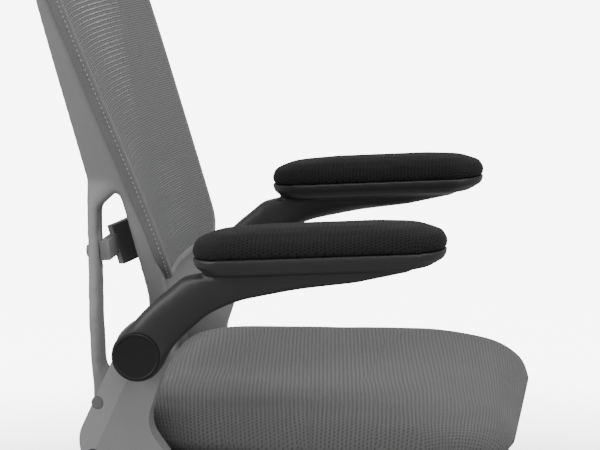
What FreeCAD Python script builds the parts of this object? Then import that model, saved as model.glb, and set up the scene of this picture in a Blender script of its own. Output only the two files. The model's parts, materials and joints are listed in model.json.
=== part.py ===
import FreeCAD, Part
import math
import os
import Sketcher
from FreeCAD import Placement, Rotation, Vector

# Driving dimensions in millimetres, degrees and counts.
# The chair faces -Y, the sitter's right is -X, and it stands on Z = 0 with the gas column on the Z axis.
SIZES = {
    # Clearances
    "running_gap": 0.3,
    "bearing_gap": 0.05,
    "sleeve_gap": 0.7,
    # Casters
    "wheel_d": 55,
    "wheel_w": 19,
    "wheel_round": 4,
    "wheel_dish": 4,
    "wheel_rim": 7,
    "wheel_spacing": 12.6,
    "caster_trail": 22,
    "caster_h": 68,
    "axle_d": 8,
    "hood_wall": 3,
    "hood_skirt_up": 6,
    "hood_boss_d": 25,
    "stem_d": 11,
    "stem_up": 22,
    "stem_down": 17,
    # Star base
    "spoke_count": 5,
    "spoke_reach": 295,
    "spoke_root_w": 46,
    "spoke_root_h": 46,
    "spoke_tip_w": 32,
    "spoke_tip_h": 29,
    "spoke_wall": 4,
    "tip_boss_d": 36,
    "hub_d": 80,
    "hub_h": 66,
    "hub_drop": 6,
    "hub_edge": 4,
    # Gas column
    "column_d": 50,
    "column_wall": 1.6,
    "column_len": 206,
    "column_foot": 4,
    "column_taper": 3,
    "column_floor": 3,
    "bush_len": 80,
    "tube_d": 28,
    "tube_wall": 2,
    "tube_len": 240,
    "tube_taper": 1.4,
    "tube_cap": 10,
    "rod_d": 10,
    "piston_h": 12,
    "bearing_d": 36,
    "bearing_h": 9,
    "clip_d": 18,
    "clip_h": 1.6,
    "cover_wall": 2,
    "cover_low_len": 99,
    "cover_mid_len": 90,
    "cover_top_len": 125,
    # Tilt mechanism
    "chassis_gap": 12,
    "chassis_w": 90,
    "chassis_front": 140,
    "chassis_rear": 75,
    "chassis_h": 49,
    "chassis_tail_h": 22,
    "chassis_sheet": 3,
    "socket_d": 44,
    "socket_h": 37,
    "tilt_pin_d": 12,
    "tilt_pin_fore": 115,
    "tilt_pin_up": 30,
    "tension_fore": 70,
    "tension_bolt_d": 10,
    "tension_bolt_len": 100,
    "knob_d": 54,
    "knob_h": 42,
    "knob_neck_d": 22,
    "knob_neck_h": 5,
    "knob_flutes": 12,
    "knob_flute_d": 8,
    "spring_d": 35,
    "spring_wire": 5,
    "spring_turns": 4,
    "cup_h": 4,
    "valve_d": 8,
    "valve_up": 9,
    "lever_d": 8,
    "lever_inner": 18,
    "lever_drop": 30,
    "lever_bend": 18,
    "lever_elbow": 78,
    "lever_reach": 178,
    "paddle_from": 150,
    "paddle_reach": 238,
    "paddle_w": 42,
    "paddle_t": 9,
    "collar_w": 24,
    "collar_h": 14,
    "collar_len": 30,
    "lever_swing": 5,
    # Seat
    "plate_z": 364,
    "plate_t": 3,
    "plate_w": 170,
    "plate_front": 135,
    "plate_rear": 75,
    "ear_l": 56,
    "ear_below": 14,
    "plate_bolt_d": 6,
    "plate_bolt_head": 11,
    "pan_t": 12,
    "pan_inset": 10,
    "seat_front": 224,
    "seat_rear": 218,
    "seat_front_w": 500,
    "seat_rear_w": 440,
    "seat_front_round": 88,
    "seat_rear_round": 80,
    "cushion_t": 66,
    "cushion_roll": 62,
    # Side brackets
    "pivot_y": 180,
    "pivot_z": 505,
    "bracket_in": 232,
    "bracket_t": 26,
    "bracket_boss_d": 62,
    "bracket_elbow": 76,
    "bracket_waist_fore": 2,
    "bracket_waist_below": 84,
    "bracket_toe": 110,
    "bracket_foot_t": 18,
    "bracket_foot_in": 112,
    "bracket_facet": 30,
    "bracket_facet_deep": 9,
    "bracket_ridge_aft": 2.4,
    "bracket_ridge_slope": 0.46,
    "bracket_bolt_d": 8,
    "bracket_bolt_head": 14,
    "back_bolt_aft": 53,
    "back_bolt_below": 62,
    "back_bolt_pitch": 58,
    # Armrests
    "arm_gap": 0.5,
    "arm_hub_d": 58,
    "arm_hub_w": 38,
    "arm_neck_h": 53,
    "arm_neck_w": 37,
    "arm_section_round": 13,
    "pad_aft": 62,
    "pad_up": 110.7,
    "pad_len": 272,
    "pad_w": 84,
    "pad_t": 28,
    "pad_rise": 3.3,
    "pad_out": 8,
    "pad_end_round": 38,
    "tray_t": 21,
    "cap_d": 52,
    "cap_t": 4,
    "arm_pin_d": 14,
    "arm_pin_head_d": 24,
    "arm_pin_head_h": 5,
    # Backrest
    "rail_low_z": 467,
    "mesh_low_z": 562,
    "mesh_top_z": 1012,
    "waist_w": 158,
    "shoulder_w": 226,
    "shoulder_z": 920,
    "rim_w": 23,
    "rim_d": 24,
    "rail_d": 12,
    "rim_round": 5,
    "mesh_low_round": 45,
    "mesh_top_round": 70,
    "rail_round": 60,
    "lumbar_z": 550,
    "lumbar_fore": 15,
    "lumbar_knee": 30,
    "back_lean": 0.36,
    "tail_lean": 0.12,
    "wrap_low": 12,
    "wrap_top": 28,
    "mesh_t": 1.6,
    "mesh_fit": 0.5,
    "mesh_seat": 0.9,
    "strap_in": 166,
    "strap_w": 40,
    "strap_t": 12,
    "strap_foot_t": 24,
    "strap_foot_z": 370,
    "strap_aft": 68,
    "strap_step": 3,
    "strap_round": 3,
    "strap_facet": 0.6,
    "strap_facet_lean": 0.35,
    "strap_arch_low": 0.6,
    "strap_arch_top": 1.3,
    "flank_d": 35,
    "lumbar_slot_z": 600,
    "lumbar_slot_x": 172,
    "lumbar_slot_w": 8.6,
    "lumbar_travel": 20,
    "lumbar_w": 270,
    "lumbar_h": 44,
    "lumbar_t": 6,
    "lumbar_aft": 40,
    "lumbar_bow": 13,
}

doc = FreeCAD.newDocument("office_chair")
sheet = doc.addObject("Spreadsheet::Sheet", "Sizes")
for row, (alias, number) in enumerate(SIZES.items(), start=1):
    sheet.set(f"A{row}", alias)
    sheet.set(f"B{row}", str(number))
    sheet.setAlias(f"B{row}", alias)
doc.recompute()


class Size:
    """A length that carries its value together with the sheet formula that gives it."""

    def __init__(self, value, text):
        self.value = value
        self.text = text

    def __add__(self, other):
        other = sized(other)
        return Size(self.value + other.value, f"({self.text} + {other.text})")

    def __sub__(self, other):
        other = sized(other)
        return Size(self.value - other.value, f"({self.text} - {other.text})")

    def __mul__(self, other):
        other = sized(other)
        return Size(self.value * other.value, f"({self.text} * {other.text})")

    def __truediv__(self, other):
        other = sized(other)
        return Size(self.value / other.value, f"({self.text} / {other.text})")

    def __neg__(self):
        return Size(-self.value, f"(-{self.text})")

    def __rsub__(self, other):
        return sized(other) - self

    __radd__ = __add__
    __rmul__ = __mul__


def sized(number):
    return number if isinstance(number, Size) else Size(float(number), f"({number})")


class Formulas:
    """Sheet cells as sizes that can drive a feature."""

    def __getattr__(self, alias):
        return Size(float(sheet.get(alias)), f"Sizes.{alias}")


class Numbers:
    """Sheet cells as plain numbers, for shapes made in code."""

    def __getattr__(self, alias):
        return float(sheet.get(alias))


S = Formulas()
N = Numbers()

# Levels above the floor
axle_z = S.wheel_d / 2
hub_z = S.caster_h - S.hub_drop
hub_top = hub_z + S.hub_h
column_z = hub_z - S.column_foot
column_top = column_z + S.column_len
chassis_z = column_top + S.chassis_gap
chassis_floor = chassis_z + S.chassis_sheet
chassis_top = chassis_z + S.chassis_h
socket_top = chassis_z + S.socket_h
tube_top = socket_top + 1
tube_z = tube_top - S.tube_len
valve_top = tube_top + S.valve_up
lever_z = valve_top + S.running_gap + S.lever_d / 2
tilt_z = chassis_z + S.tilt_pin_up
pan_z = S.plate_z + S.plate_t
cushion_z = pan_z + S.pan_t
bearing_z = column_z + S.column_floor
arm_x = S.bracket_in + S.bracket_t + S.arm_gap
foot_z = pan_z - S.bracket_foot_t


def new_body(label):
    return doc.addObject("PartDesign::Body", label)


def new_sketch(body, role, name, lift=None):
    sketch = body.newObject("Sketcher::SketchObject", name)
    plane = next(each for each in body.Origin.OriginFeatures if each.Role == role)
    sketch.AttachmentSupport = [(plane, "")]
    sketch.MapMode = "FlatFace"
    if lift is not None:
        sketch.setExpression("AttachmentOffset.Base.z", lift.text)
    return sketch


def tie(sketch, kind, curve, point, size):
    index = sketch.addConstraint(Sketcher.Constraint(kind, curve, point, size.value))
    sketch.setExpression(f"Constraints[{index}]", size.text)


def tie_point(sketch, curve, point, across, up):
    tie(sketch, "DistanceX", curve, point, sized(across))
    tie(sketch, "DistanceY", curve, point, sized(up))


def draw_outline(sketch, corners):
    """Straight edges through corners whose two coordinates follow the sheet."""
    points = [Vector(sized(across).value, sized(up).value, 0) for across, up in corners]
    count = len(points)
    first = sketch.GeometryCount
    for i in range(count):
        sketch.addGeometry(Part.LineSegment(points[i], points[(i + 1) % count]), False)
    for i in range(count):
        sketch.addConstraint(Sketcher.Constraint("Coincident", first + i, 2, first + (i + 1) % count, 1))
    for i, (across, up) in enumerate(corners):
        tie_point(sketch, first + i, 1, across, up)


def draw_circle(sketch, across, up, diameter):
    centre = Vector(sized(across).value, sized(up).value, 0)
    curve = sketch.addGeometry(Part.Circle(centre, Vector(0, 0, 1), diameter.value / 2), False)
    tie_point(sketch, curve, 3, across, up)
    index = sketch.addConstraint(Sketcher.Constraint("Diameter", curve, diameter.value))
    sketch.setExpression(f"Constraints[{index}]", diameter.text)


def pad(body, sketch, name, length, backwards=False):
    feature = body.newObject("PartDesign::Pad", name)
    feature.Profile = sketch
    feature.Reversed = backwards
    feature.setExpression("Length", length.text)
    return feature


def pocket(body, sketch, name, length, backwards=False):
    feature = body.newObject("PartDesign::Pocket", name)
    feature.Profile = sketch
    feature.Reversed = backwards
    feature.setExpression("Length", length.text)
    return feature


def turned(label, corners):
    """Body of revolution about Z from (radius, height) corners."""
    body = new_body(label)
    sketch = new_sketch(body, "XZ_Plane", f"{label}_profile")
    draw_outline(sketch, corners)
    turn = body.newObject("PartDesign::Revolution", f"{label}_turn")
    turn.Profile = sketch
    turn.ReferenceAxis = (sketch, ["V_Axis"])
    turn.Angle = 360
    return body


def turned_cut(body, name, corners):
    sketch = new_sketch(body, "XZ_Plane", f"{name}_profile")
    draw_outline(sketch, corners)
    groove = body.newObject("PartDesign::Groove", name)
    groove.Profile = sketch
    groove.ReferenceAxis = (sketch, ["V_Axis"])
    groove.Angle = 360
    return groove


def edge_names(shape, wanted):
    return [f"Edge{i}" for i, edge in enumerate(shape.Edges, start=1) if wanted(edge)]


def round_edges(body, name, radius, wanted):
    doc.recompute()
    base = body.Tip
    fillet = body.newObject("PartDesign::Fillet", name)
    fillet.Base = (base, edge_names(base.Shape, wanted))
    fillet.setExpression("Radius", radius.text)
    return fillet


def middle(edge):
    return edge.valueAt((edge.FirstParameter + edge.LastParameter) / 2)


def cylinder(name, diameter, height, place):
    shape = doc.addObject("Part::Cylinder", name)
    shape.setExpression("Radius", (sized(diameter) / 2).text)
    shape.setExpression("Height", sized(height).text)
    shape.Placement = place
    return shape


def fuse(label, pieces):
    whole = doc.addObject("Part::MultiFuse", label)
    whole.Shapes = pieces
    return whole


def cut(label, base, tool):
    whole = doc.addObject("Part::Cut", label)
    whole.Base = base
    whole.Tool = tool
    return whole


def group(label, pieces):
    whole = doc.addObject("Part::Compound", label)
    whole.Links = pieces
    return whole


def mirrored(label, source):
    """The same piece for the other side of the chair."""
    twin = doc.addObject("Part::Mirroring", label)
    twin.Source = source
    twin.Normal = Vector(1, 0, 0)
    return twin


def shaped(label, shape, place=None):
    feature = doc.addObject("Part::Feature", label)
    feature.Shape = shape
    if place is not None:
        feature.Placement = place
    return feature


def at(x, y, z, turn=None):
    spots = [sized(each).value for each in (x, y, z)]
    return Placement(Vector(*spots), turn or Rotation())


ALONG_X = Rotation(Vector(0, 1, 0), 90)


def rounded_loop(corners, radii):
    """Closed wire of straight runs whose corners are arcs of the given radii."""
    count = len(corners)
    arcs = []
    for i, (here, radius) in enumerate(zip(corners, radii)):
        back = (corners[i - 1] - here).normalize()
        onward = (corners[(i + 1) % count] - here).normalize()
        half = back.getAngle(onward) / 2
        inward = (back + onward).normalize()
        reach = radius / math.tan(half)
        crest = here + inward * (radius / math.sin(half) - radius)
        arcs.append((here + back * reach, crest, here + onward * reach))
    edges = []
    for i, (enter, crest, leave) in enumerate(arcs):
        edges.append(Part.Arc(enter, crest, leave).toShape())
        edges.append(Part.LineSegment(leave, arcs[(i + 1) % count][0]).toShape())
    return Part.Wire(edges)


def section(centre, across, along, width, height, radius):
    """Rounded rectangle about a centre, spanned by two unit directions."""
    side = across * (width / 2)
    rise = along * (height / 2)
    corners = [centre - side - rise, centre + side - rise, centre + side + rise, centre - side + rise]
    return rounded_loop(corners, [min(radius, 0.45 * width, 0.45 * height)] * 4)


def lofted(wires):
    """Solid through closed sections, with straight runs from each section to the next."""
    return Part.makeLoft(wires, True, True)


# Star base: a turned hub and one hollow spoke, repeated round the column
def star_base():
    body = turned("star_base", [
        (S.column_d / 2 - S.column_taper + S.bearing_gap, hub_z),
        (S.hub_d / 2, hub_z),
        (S.hub_d / 2, hub_z + S.hub_h / 2),
        (S.hub_d / 2 - S.hub_edge, hub_top),
        (S.column_d / 2 + S.bearing_gap, hub_top),
    ])
    root_y = S.hub_d / 2 - S.hub_edge - S.spoke_wall
    sections = {}
    for name, place, width, low, tall in (
        ("root", root_y, S.spoke_root_w, hub_z + S.spoke_wall, S.spoke_root_h),
        ("tip", S.spoke_reach, S.spoke_tip_w, S.caster_h, S.spoke_tip_h),
    ):
        outer = new_sketch(body, "XZ_Plane", f"spoke_{name}", place)
        draw_outline(outer, [
            (-width / 2, low), (width / 2, low), (width / 2, low + tall * 0.55),
            (width * 0.3, low + tall), (-width * 0.3, low + tall), (-width / 2, low + tall * 0.55),
        ])
        inner_place = place if name == "root" else place - S.tip_boss_d / 2
        inner = new_sketch(body, "XZ_Plane", f"hollow_{name}", inner_place)
        half = width / 2 - S.spoke_wall
        draw_outline(inner, [
            (-half, low - S.spoke_wall), (half, low - S.spoke_wall),
            (half, low + tall * 0.5), (half * 0.6, low + tall - S.spoke_wall * 1.5),
            (-half * 0.6, low + tall - S.spoke_wall * 1.5), (-half, low + tall * 0.5),
        ])
        sections[name] = (outer, inner)
    spoke = body.newObject("PartDesign::AdditiveLoft", "spoke")
    spoke.Profile = sections["root"][0]
    spoke.Sections = [sections["tip"][0]]
    boss_sketch = new_sketch(body, "XY_Plane", "tip_boss_outline", S.caster_h)
    draw_circle(boss_sketch, 0, -S.spoke_reach, S.tip_boss_d)
    boss = pad(body, boss_sketch, "tip_boss", S.spoke_tip_h)
    hollow = body.newObject("PartDesign::SubtractiveLoft", "spoke_hollow")
    hollow.Profile = sections["root"][1]
    hollow.Sections = [sections["tip"][1]]
    bore_sketch = new_sketch(body, "XY_Plane", "stem_bore_outline", S.caster_h - S.spoke_wall)
    draw_circle(bore_sketch, 0, -S.spoke_reach, S.stem_d + S.bearing_gap * 2)
    bore = pocket(body, bore_sketch, "stem_bore", S.spoke_wall + S.stem_up + S.running_gap, True)
    ring = body.newObject("PartDesign::PolarPattern", "spokes")
    ring.Originals = [spoke, boss, hollow, bore]
    z_axis = next(each for each in body.Origin.OriginFeatures if each.Role == "Z_Axis")
    ring.Axis = (z_axis, [""])
    ring.Angle = 360
    ring.setExpression("Occurrences", S.spoke_count.text)
    body.Tip = ring
    turned_cut(body, "column_seat", [
        (0, hub_z - 1),
        (S.column_d / 2 - S.column_taper + S.bearing_gap, hub_z - 1),
        (S.column_d / 2 - S.column_taper + S.bearing_gap, hub_z),
        (S.column_d / 2 + S.bearing_gap, hub_top),
        (S.column_d / 2 + S.bearing_gap, hub_top + 1),
        (0, hub_top + 1),
    ])
    return body


# Gas column: outer tube, guide bush, thrust bearing, rod with its clip, and the sliding pressure tube
def column_parts():
    outer = S.column_d / 2
    inner = outer - S.column_wall
    rod_hole = S.rod_d / 2 + S.bearing_gap
    tube = turned("column_tube", [
        (rod_hole, column_z), (outer - S.column_taper, column_z),
        (outer - S.column_taper, hub_z), (outer, hub_top),
        (outer, column_top), (inner, column_top), (inner, hub_top),
        (inner - S.column_taper, hub_z), (inner - S.column_taper, bearing_z), (rod_hole, bearing_z),
    ])
    bush = turned("column_bush", [
        (S.tube_d / 2 + S.bearing_gap, column_top - S.bush_len),
        (inner - S.bearing_gap, column_top - S.bush_len),
        (inner - S.bearing_gap, column_top), (S.tube_d / 2 + S.bearing_gap, column_top),
    ])
    bearing = turned("thrust_bearing", [
        (rod_hole, bearing_z), (S.bearing_d / 2, bearing_z),
        (S.bearing_d / 2, bearing_z + S.bearing_h), (rod_hole, bearing_z + S.bearing_h),
    ])
    piston_top = tube_top - S.tube_cap - 4
    piston_r = S.tube_d / 2 - S.tube_wall - S.bearing_gap
    clip_top = column_z - S.bearing_gap
    groove_r = S.rod_d / 2 - 1.5
    rod = turned("gas_rod", [
        (0, clip_top - S.clip_h * 2), (S.rod_d / 2, clip_top - S.clip_h * 2),
        (S.rod_d / 2, clip_top - S.clip_h), (groove_r, clip_top - S.clip_h),
        (groove_r, clip_top), (S.rod_d / 2, clip_top),
        (S.rod_d / 2, piston_top - S.piston_h), (piston_r, piston_top - S.piston_h),
        (piston_r, piston_top), (0, piston_top),
    ])
    clip = turned("column_clip", [
        (groove_r, clip_top - S.clip_h), (S.clip_d / 2, clip_top - S.clip_h),
        (S.clip_d / 2, clip_top), (groove_r, clip_top),
    ])
    bore = S.tube_d / 2 - S.tube_wall
    valve_r = S.valve_d / 2 + S.bearing_gap
    pressure = turned("pressure_tube", [
        (rod_hole, tube_z), (S.tube_d / 2, tube_z), (S.tube_d / 2, chassis_z),
        (S.tube_d / 2 - S.tube_taper, tube_top), (valve_r, tube_top), (valve_r, tube_top - S.tube_cap),
        (bore, tube_top - S.tube_cap), (bore, tube_z + S.tube_cap), (rod_hole, tube_z + S.tube_cap),
    ])
    valve = turned("release_pin", [
        (0, tube_top - S.tube_cap + 5), (S.valve_d / 2, tube_top - S.tube_cap + 5),
        (S.valve_d / 2, valve_top), (0, valve_top),
    ])
    return [tube, bush, bearing, rod, clip, pressure, valve]


# Three telescopic dust covers round the gas column
def column_covers():
    low_in = S.column_d / 2 + S.sleeve_gap
    mid_in = low_in + S.cover_wall + S.sleeve_gap
    top_in = mid_in + S.cover_wall + S.sleeve_gap
    mid_z = column_top - S.cover_mid_len - S.chassis_gap
    covers = []
    for label, inner, low, high in (
        ("cover_lower", low_in, hub_top, hub_top + S.cover_low_len),
        ("cover_middle", mid_in, mid_z, mid_z + S.cover_mid_len),
        ("cover_upper", top_in, chassis_z - S.cover_top_len, chassis_z),
    ):
        outer = inner + S.cover_wall
        covers.append(turned(label, [(inner, low), (outer, low), (outer, high), (inner, high)]))
    return covers


# Casters: one hood on a fixed stem, and two wheels on the hood's axle
def caster(index):
    heading = 360 / N.spoke_count * index
    turn = Rotation(Vector(0, 0, 1), heading)
    spot = turn.multVec(Vector(0, -N.spoke_reach, 0))
    place = Placement(spot, turn)
    tread = S.wheel_d / 2 + S.running_gap * 3
    hood_r = tread + S.hood_wall
    half_span = S.wheel_spacing / 2 + S.wheel_w
    trail = S.caster_trail
    name = f"hood_{index + 1}"
    fender = cylinder(f"{name}_fender", hood_r * 2, half_span * 2, at(-half_span, trail, axle_z, ALONG_X))
    hollow_place = at(-half_span - 1, trail, axle_z, ALONG_X)
    hollow = cylinder(f"{name}_hollow", tread * 2, half_span * 2 + 2, hollow_place)
    arch = cut(f"{name}_arch", fender, hollow)
    below = doc.addObject("Part::Box", f"{name}_below")
    below.setExpression("Length", (half_span * 2 + 2).text)
    below.setExpression("Width", (hood_r * 2 + 2).text)
    below.setExpression("Height", (hood_r + S.hood_skirt_up + 1).text)
    below.Placement = at(-half_span - 1, trail - hood_r - 1, axle_z - hood_r - 1)
    cover = cut(f"{name}_cover", arch, below)
    web_t = S.wheel_spacing - S.running_gap * 2
    web = cylinder(f"{name}_web", S.wheel_d - S.wheel_rim, web_t, at(-web_t / 2, trail, axle_z, ALONG_X))
    bridge = doc.addObject("Part::Box", f"{name}_bridge")
    bridge.setExpression("Length", web_t.text)
    bridge.setExpression("Width", (trail + S.hood_boss_d / 2).text)
    bridge.setExpression("Height", (S.wheel_d / 2).text)
    bridge.Placement = at(-web_t / 2, -S.hood_boss_d / 2 + 1, axle_z)
    axle_len = half_span * 2 - S.wheel_dish * 2 - 4
    axle = cylinder(f"{name}_axle", S.axle_d, axle_len, at(-axle_len / 2, trail, axle_z, ALONG_X))
    boss_z = S.caster_h - S.running_gap - S.stem_down - 6
    boss = cylinder(f"{name}_boss", S.hood_boss_d, S.stem_down + 6, at(0, 0, boss_z))
    clear = []
    for side in (-1, 1):
        start = S.wheel_spacing / 2 if side > 0 else -(S.wheel_spacing / 2 + S.wheel_w + 2)
        well_place = at(start, trail, axle_z, ALONG_X)
        clear.append(cylinder(f"{name}_clear_{side}", tread * 2, S.wheel_w + 2, well_place))
    trimmed = cut(f"{name}_trimmed", fuse(f"{name}_stand", [bridge, boss]), fuse(f"{name}_wells", clear))
    bore = cylinder(f"{name}_bore", S.stem_d + S.bearing_gap * 2, S.stem_down + 1,
                    at(0, 0, S.caster_h - S.running_gap - S.stem_down))
    hood = cut(f"caster_hood_{index + 1}", fuse(f"{name}_whole", [cover, web, trimmed, axle]), bore)
    hood.Placement = place
    wheels = []
    for side, word in ((-1, "right"), (1, "left")):
        radius = S.wheel_d / 2
        bore_r = S.axle_d / 2 + S.bearing_gap
        wheel = turned(f"caster_wheel_{index + 1}_{word}", [
            (bore_r, 0), (radius - S.wheel_round / 2, 0), (radius, S.wheel_round / 2),
            (radius, S.wheel_w - S.wheel_round), (radius - S.wheel_round, S.wheel_w),
            (radius - S.wheel_rim, S.wheel_w), (radius - S.wheel_rim - 2, S.wheel_w - S.wheel_dish),
            (S.axle_d, S.wheel_w - S.wheel_dish), (S.axle_d * 0.75, S.wheel_w - 1), (0, S.wheel_w - 1),
            (0, S.wheel_w - S.wheel_dish - 1.5), (bore_r, S.wheel_w - S.wheel_dish - 1.5),
        ])
        inside = N.wheel_spacing / 2
        outward = Rotation(Vector(0, 1, 0), 90 * side)
        local = Placement(Vector(side * inside, N.caster_trail, axle_z.value), outward)
        wheel.Placement = place.multiply(local)
        wheels.append(wheel)
    stem = cylinder(f"stem_{index + 1}", S.stem_d, S.stem_up + S.stem_down - 1,
                    at(spot.x, spot.y, S.caster_h - S.stem_down + 1))
    return hood, wheels, stem


# Tilt chassis: an open steel tray with a taper socket for the column, pin holes and the lever window
def tilt_chassis():
    body = new_body("tilt_chassis")
    half = S.chassis_w / 2
    side = new_sketch(body, "YZ_Plane", "chassis_side", -half)
    draw_outline(side, [
        (-S.chassis_front, chassis_z), (S.chassis_rear, chassis_z),
        (S.chassis_rear, chassis_z + S.chassis_tail_h),
        (-S.collar_w, chassis_top), (-S.chassis_front, chassis_top),
    ])
    pad(body, side, "chassis_block", S.chassis_w)
    inside = new_sketch(body, "XY_Plane", "chassis_inside", chassis_floor)
    draw_outline(inside, [
        (-half + S.chassis_sheet, -S.chassis_front + S.chassis_sheet),
        (half - S.chassis_sheet, -S.chassis_front + S.chassis_sheet),
        (half - S.chassis_sheet, S.chassis_rear - S.chassis_sheet),
        (-half + S.chassis_sheet, S.chassis_rear - S.chassis_sheet),
    ])
    pocket(body, inside, "chassis_tray", S.chassis_h, True)
    socket = new_sketch(body, "XY_Plane", "socket_outline", chassis_z)
    draw_circle(socket, 0, 0, S.socket_d)
    pad(body, socket, "column_socket", S.socket_h)
    fit = S.tube_d / 2 + S.bearing_gap
    turned_cut(body, "column_taper_bore", [
        (0, chassis_z - 1), (fit, chassis_z - 1), (fit, chassis_z),
        (fit - S.tube_taper, tube_top), (0, tube_top),
    ])
    pin = new_sketch(body, "YZ_Plane", "tilt_pin_hole_outline", half + 1)
    draw_circle(pin, -S.tilt_pin_fore, tilt_z, S.tilt_pin_d + S.bearing_gap * 2)
    pocket(body, pin, "tilt_pin_hole", S.chassis_w + 2)
    window = new_sketch(body, "YZ_Plane", "lever_window_outline", -half + S.chassis_sheet + 1)
    reach = S.collar_w / 2 + S.bearing_gap
    low = lever_z - S.collar_h / 2 - S.bearing_gap
    draw_outline(window, [(-reach, low), (reach, low), (reach, chassis_top + 1), (-reach, chassis_top + 1)])
    pocket(body, window, "lever_window", S.chassis_sheet + 2)
    hole = new_sketch(body, "XY_Plane", "tension_hole_outline", chassis_floor + 1)
    draw_circle(hole, 0, -S.tension_fore, S.tension_bolt_d + S.bearing_gap * 2)
    pocket(body, hole, "tension_hole", S.chassis_sheet + 2)
    return body


# Tension knob with finger flutes, its bolt, the cup that rides on the thread, and the spring
def tension_parts():
    top = chassis_z - S.running_gap
    neck_z = top - S.knob_neck_h
    low = neck_z - S.knob_h
    bolt_r = S.tension_bolt_d / 2
    knob = turned("tension_knob", [
        (0, low), (S.knob_d / 2 - 5, low), (S.knob_d / 2, low + 5), (S.knob_d / 2, neck_z - 3),
        (S.knob_d / 2 - 3, neck_z), (S.knob_neck_d / 2, neck_z), (S.knob_neck_d / 2, top),
        (bolt_r, top), (bolt_r, low + 8), (0, low + 8),
    ])
    flute = new_sketch(knob, "XY_Plane", "flute_outline", low - 1)
    draw_circle(flute, 0, S.knob_d / 2 + S.knob_flute_d / 4, S.knob_flute_d)
    scoop = pocket(knob, flute, "flute", S.knob_h + 2, True)
    flutes = knob.newObject("PartDesign::PolarPattern", "flutes")
    flutes.Originals = [scoop]
    z_axis = next(each for each in knob.Origin.OriginFeatures if each.Role == "Z_Axis")
    flutes.Axis = (z_axis, [""])
    flutes.Angle = 360
    flutes.setExpression("Occurrences", S.knob_flutes.text)
    knob.Tip = flutes
    bolt = cylinder("tension_bolt", S.tension_bolt_d, S.tension_bolt_len, at(0, -S.tension_fore, low + 8))
    knob.Placement = at(0, -S.tension_fore, 0)
    hole = bolt_r + S.bearing_gap
    seat = S.spring_d / 2 - S.spring_wire - 1
    flange = S.spring_d / 2 + 1
    ledge = chassis_floor + S.cup_h
    rim_top = ledge + S.cup_h
    cup = turned("spring_cup", [
        (hole, chassis_floor), (flange, chassis_floor), (flange, ledge),
        (seat, ledge), (seat, rim_top), (hole, rim_top),
    ])
    cup.Placement = at(0, -S.tension_fore, 0)
    spring = shaped("tension_spring", coil(), at(0, -S.tension_fore, 0))
    return [knob, bolt, cup, spring]


def coil():
    """Compression spring of half turns of eight-sided wire, from the cup to the seat plate."""
    wire_r = N.spring_wire / 2
    low = (chassis_floor + S.cup_h).value + wire_r + N.bearing_gap
    high = N.plate_z - wire_r - N.bearing_gap
    radius = N.spring_d / 2 - wire_r
    halves = int(N.spring_turns * 2)
    step = (high - low) / halves
    flats = [math.radians(45 * i + 22.5) for i in range(8)]
    turns = []
    for i in range(halves):
        sign = 1 if i % 2 == 0 else -1
        start = Vector(sign * radius, 0, low + step * i)
        centre = Vector(0, 0, low + step * (i + 0.5))
        corners = [start + Vector(math.cos(turn), 0, math.sin(turn)) * wire_r for turn in flats]
        disc = Part.Face(Part.makePolygon(corners + corners[:1]))
        axis = (start - centre).cross(Vector(0, sign, 0))
        turns.append(disc.revolve(centre, axis, 180))
    print("spring: gap between turns", round(2 * step - N.spring_wire, 2), "mm")
    return turns[0].fuse(turns[1:])


# Height lever: a bent rod that rocks on its collar, and a flat paddle pushed over its end
def lever_parts():
    wall = (S.chassis_w / 2).value
    collar = doc.addObject("Part::Box", "collar_block")
    collar.setExpression("Length", S.collar_len.text)
    collar.setExpression("Width", S.collar_w.text)
    collar.setExpression("Height", S.collar_h.text)
    collar.Placement = at(-S.chassis_w / 2 - S.collar_len / 2, -S.collar_w / 2, lever_z - S.collar_h / 2)
    rock = math.sin(math.radians(N.lever_swing)) * N.collar_len / 2
    slot = doc.addObject("Part::Box", "collar_slot")
    slot.Length = N.collar_len + 2
    slot.Width = N.lever_d + 2 * N.running_gap
    slot.Height = N.lever_d + 2 * rock + 2 * N.running_gap
    slot_z = lever_z.value - slot.Height.Value / 2
    slot.Placement = at(-wall - N.collar_len / 2 - 1, -slot.Width.Value / 2, slot_z)
    bush = cut("lock_collar", collar, slot)
    low = lever_z.value - N.lever_drop
    corners = [
        Vector(N.lever_inner, 0, lever_z.value), Vector(-N.lever_elbow, 0, lever_z.value),
        Vector(-N.lever_elbow - N.lever_drop, 0, low), Vector(-N.lever_reach, 0, low),
    ]
    path = bent_path(corners, N.lever_bend)
    ring = Part.Wire([Part.Circle(corners[0], Vector(1, 0, 0), N.lever_d / 2).toShape()])
    rod = shaped("lever_rod", path.makePipeShell([ring], True, False))
    across = Vector(0, 1, 0)
    up = Vector(0, 0, 1)
    near = N.paddle_from
    far = N.paddle_reach
    grip = N.lever_d + 6
    stations = [
        (near, grip, grip), (near + 0.3 * (far - near), grip + 4, grip),
        (near + 0.7 * (far - near), N.paddle_w, N.paddle_t), (far, N.paddle_w - 4, N.paddle_t - 2),
    ]
    wires = []
    for x, width, tall in stations:
        wires.append(section(Vector(-x, 0, low), across, up, width, tall, tall / 2))
    blade = lofted(wires)
    socket_r = N.lever_d / 2 + N.bearing_gap
    socket_len = N.lever_reach - near + 2
    socket = Part.makeCylinder(socket_r, socket_len, Vector(-near + 1, 0, low), Vector(-1, 0, 0))
    paddle = shaped("lever_paddle", blade.cut(socket))
    return [bush, rod, paddle]


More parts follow.
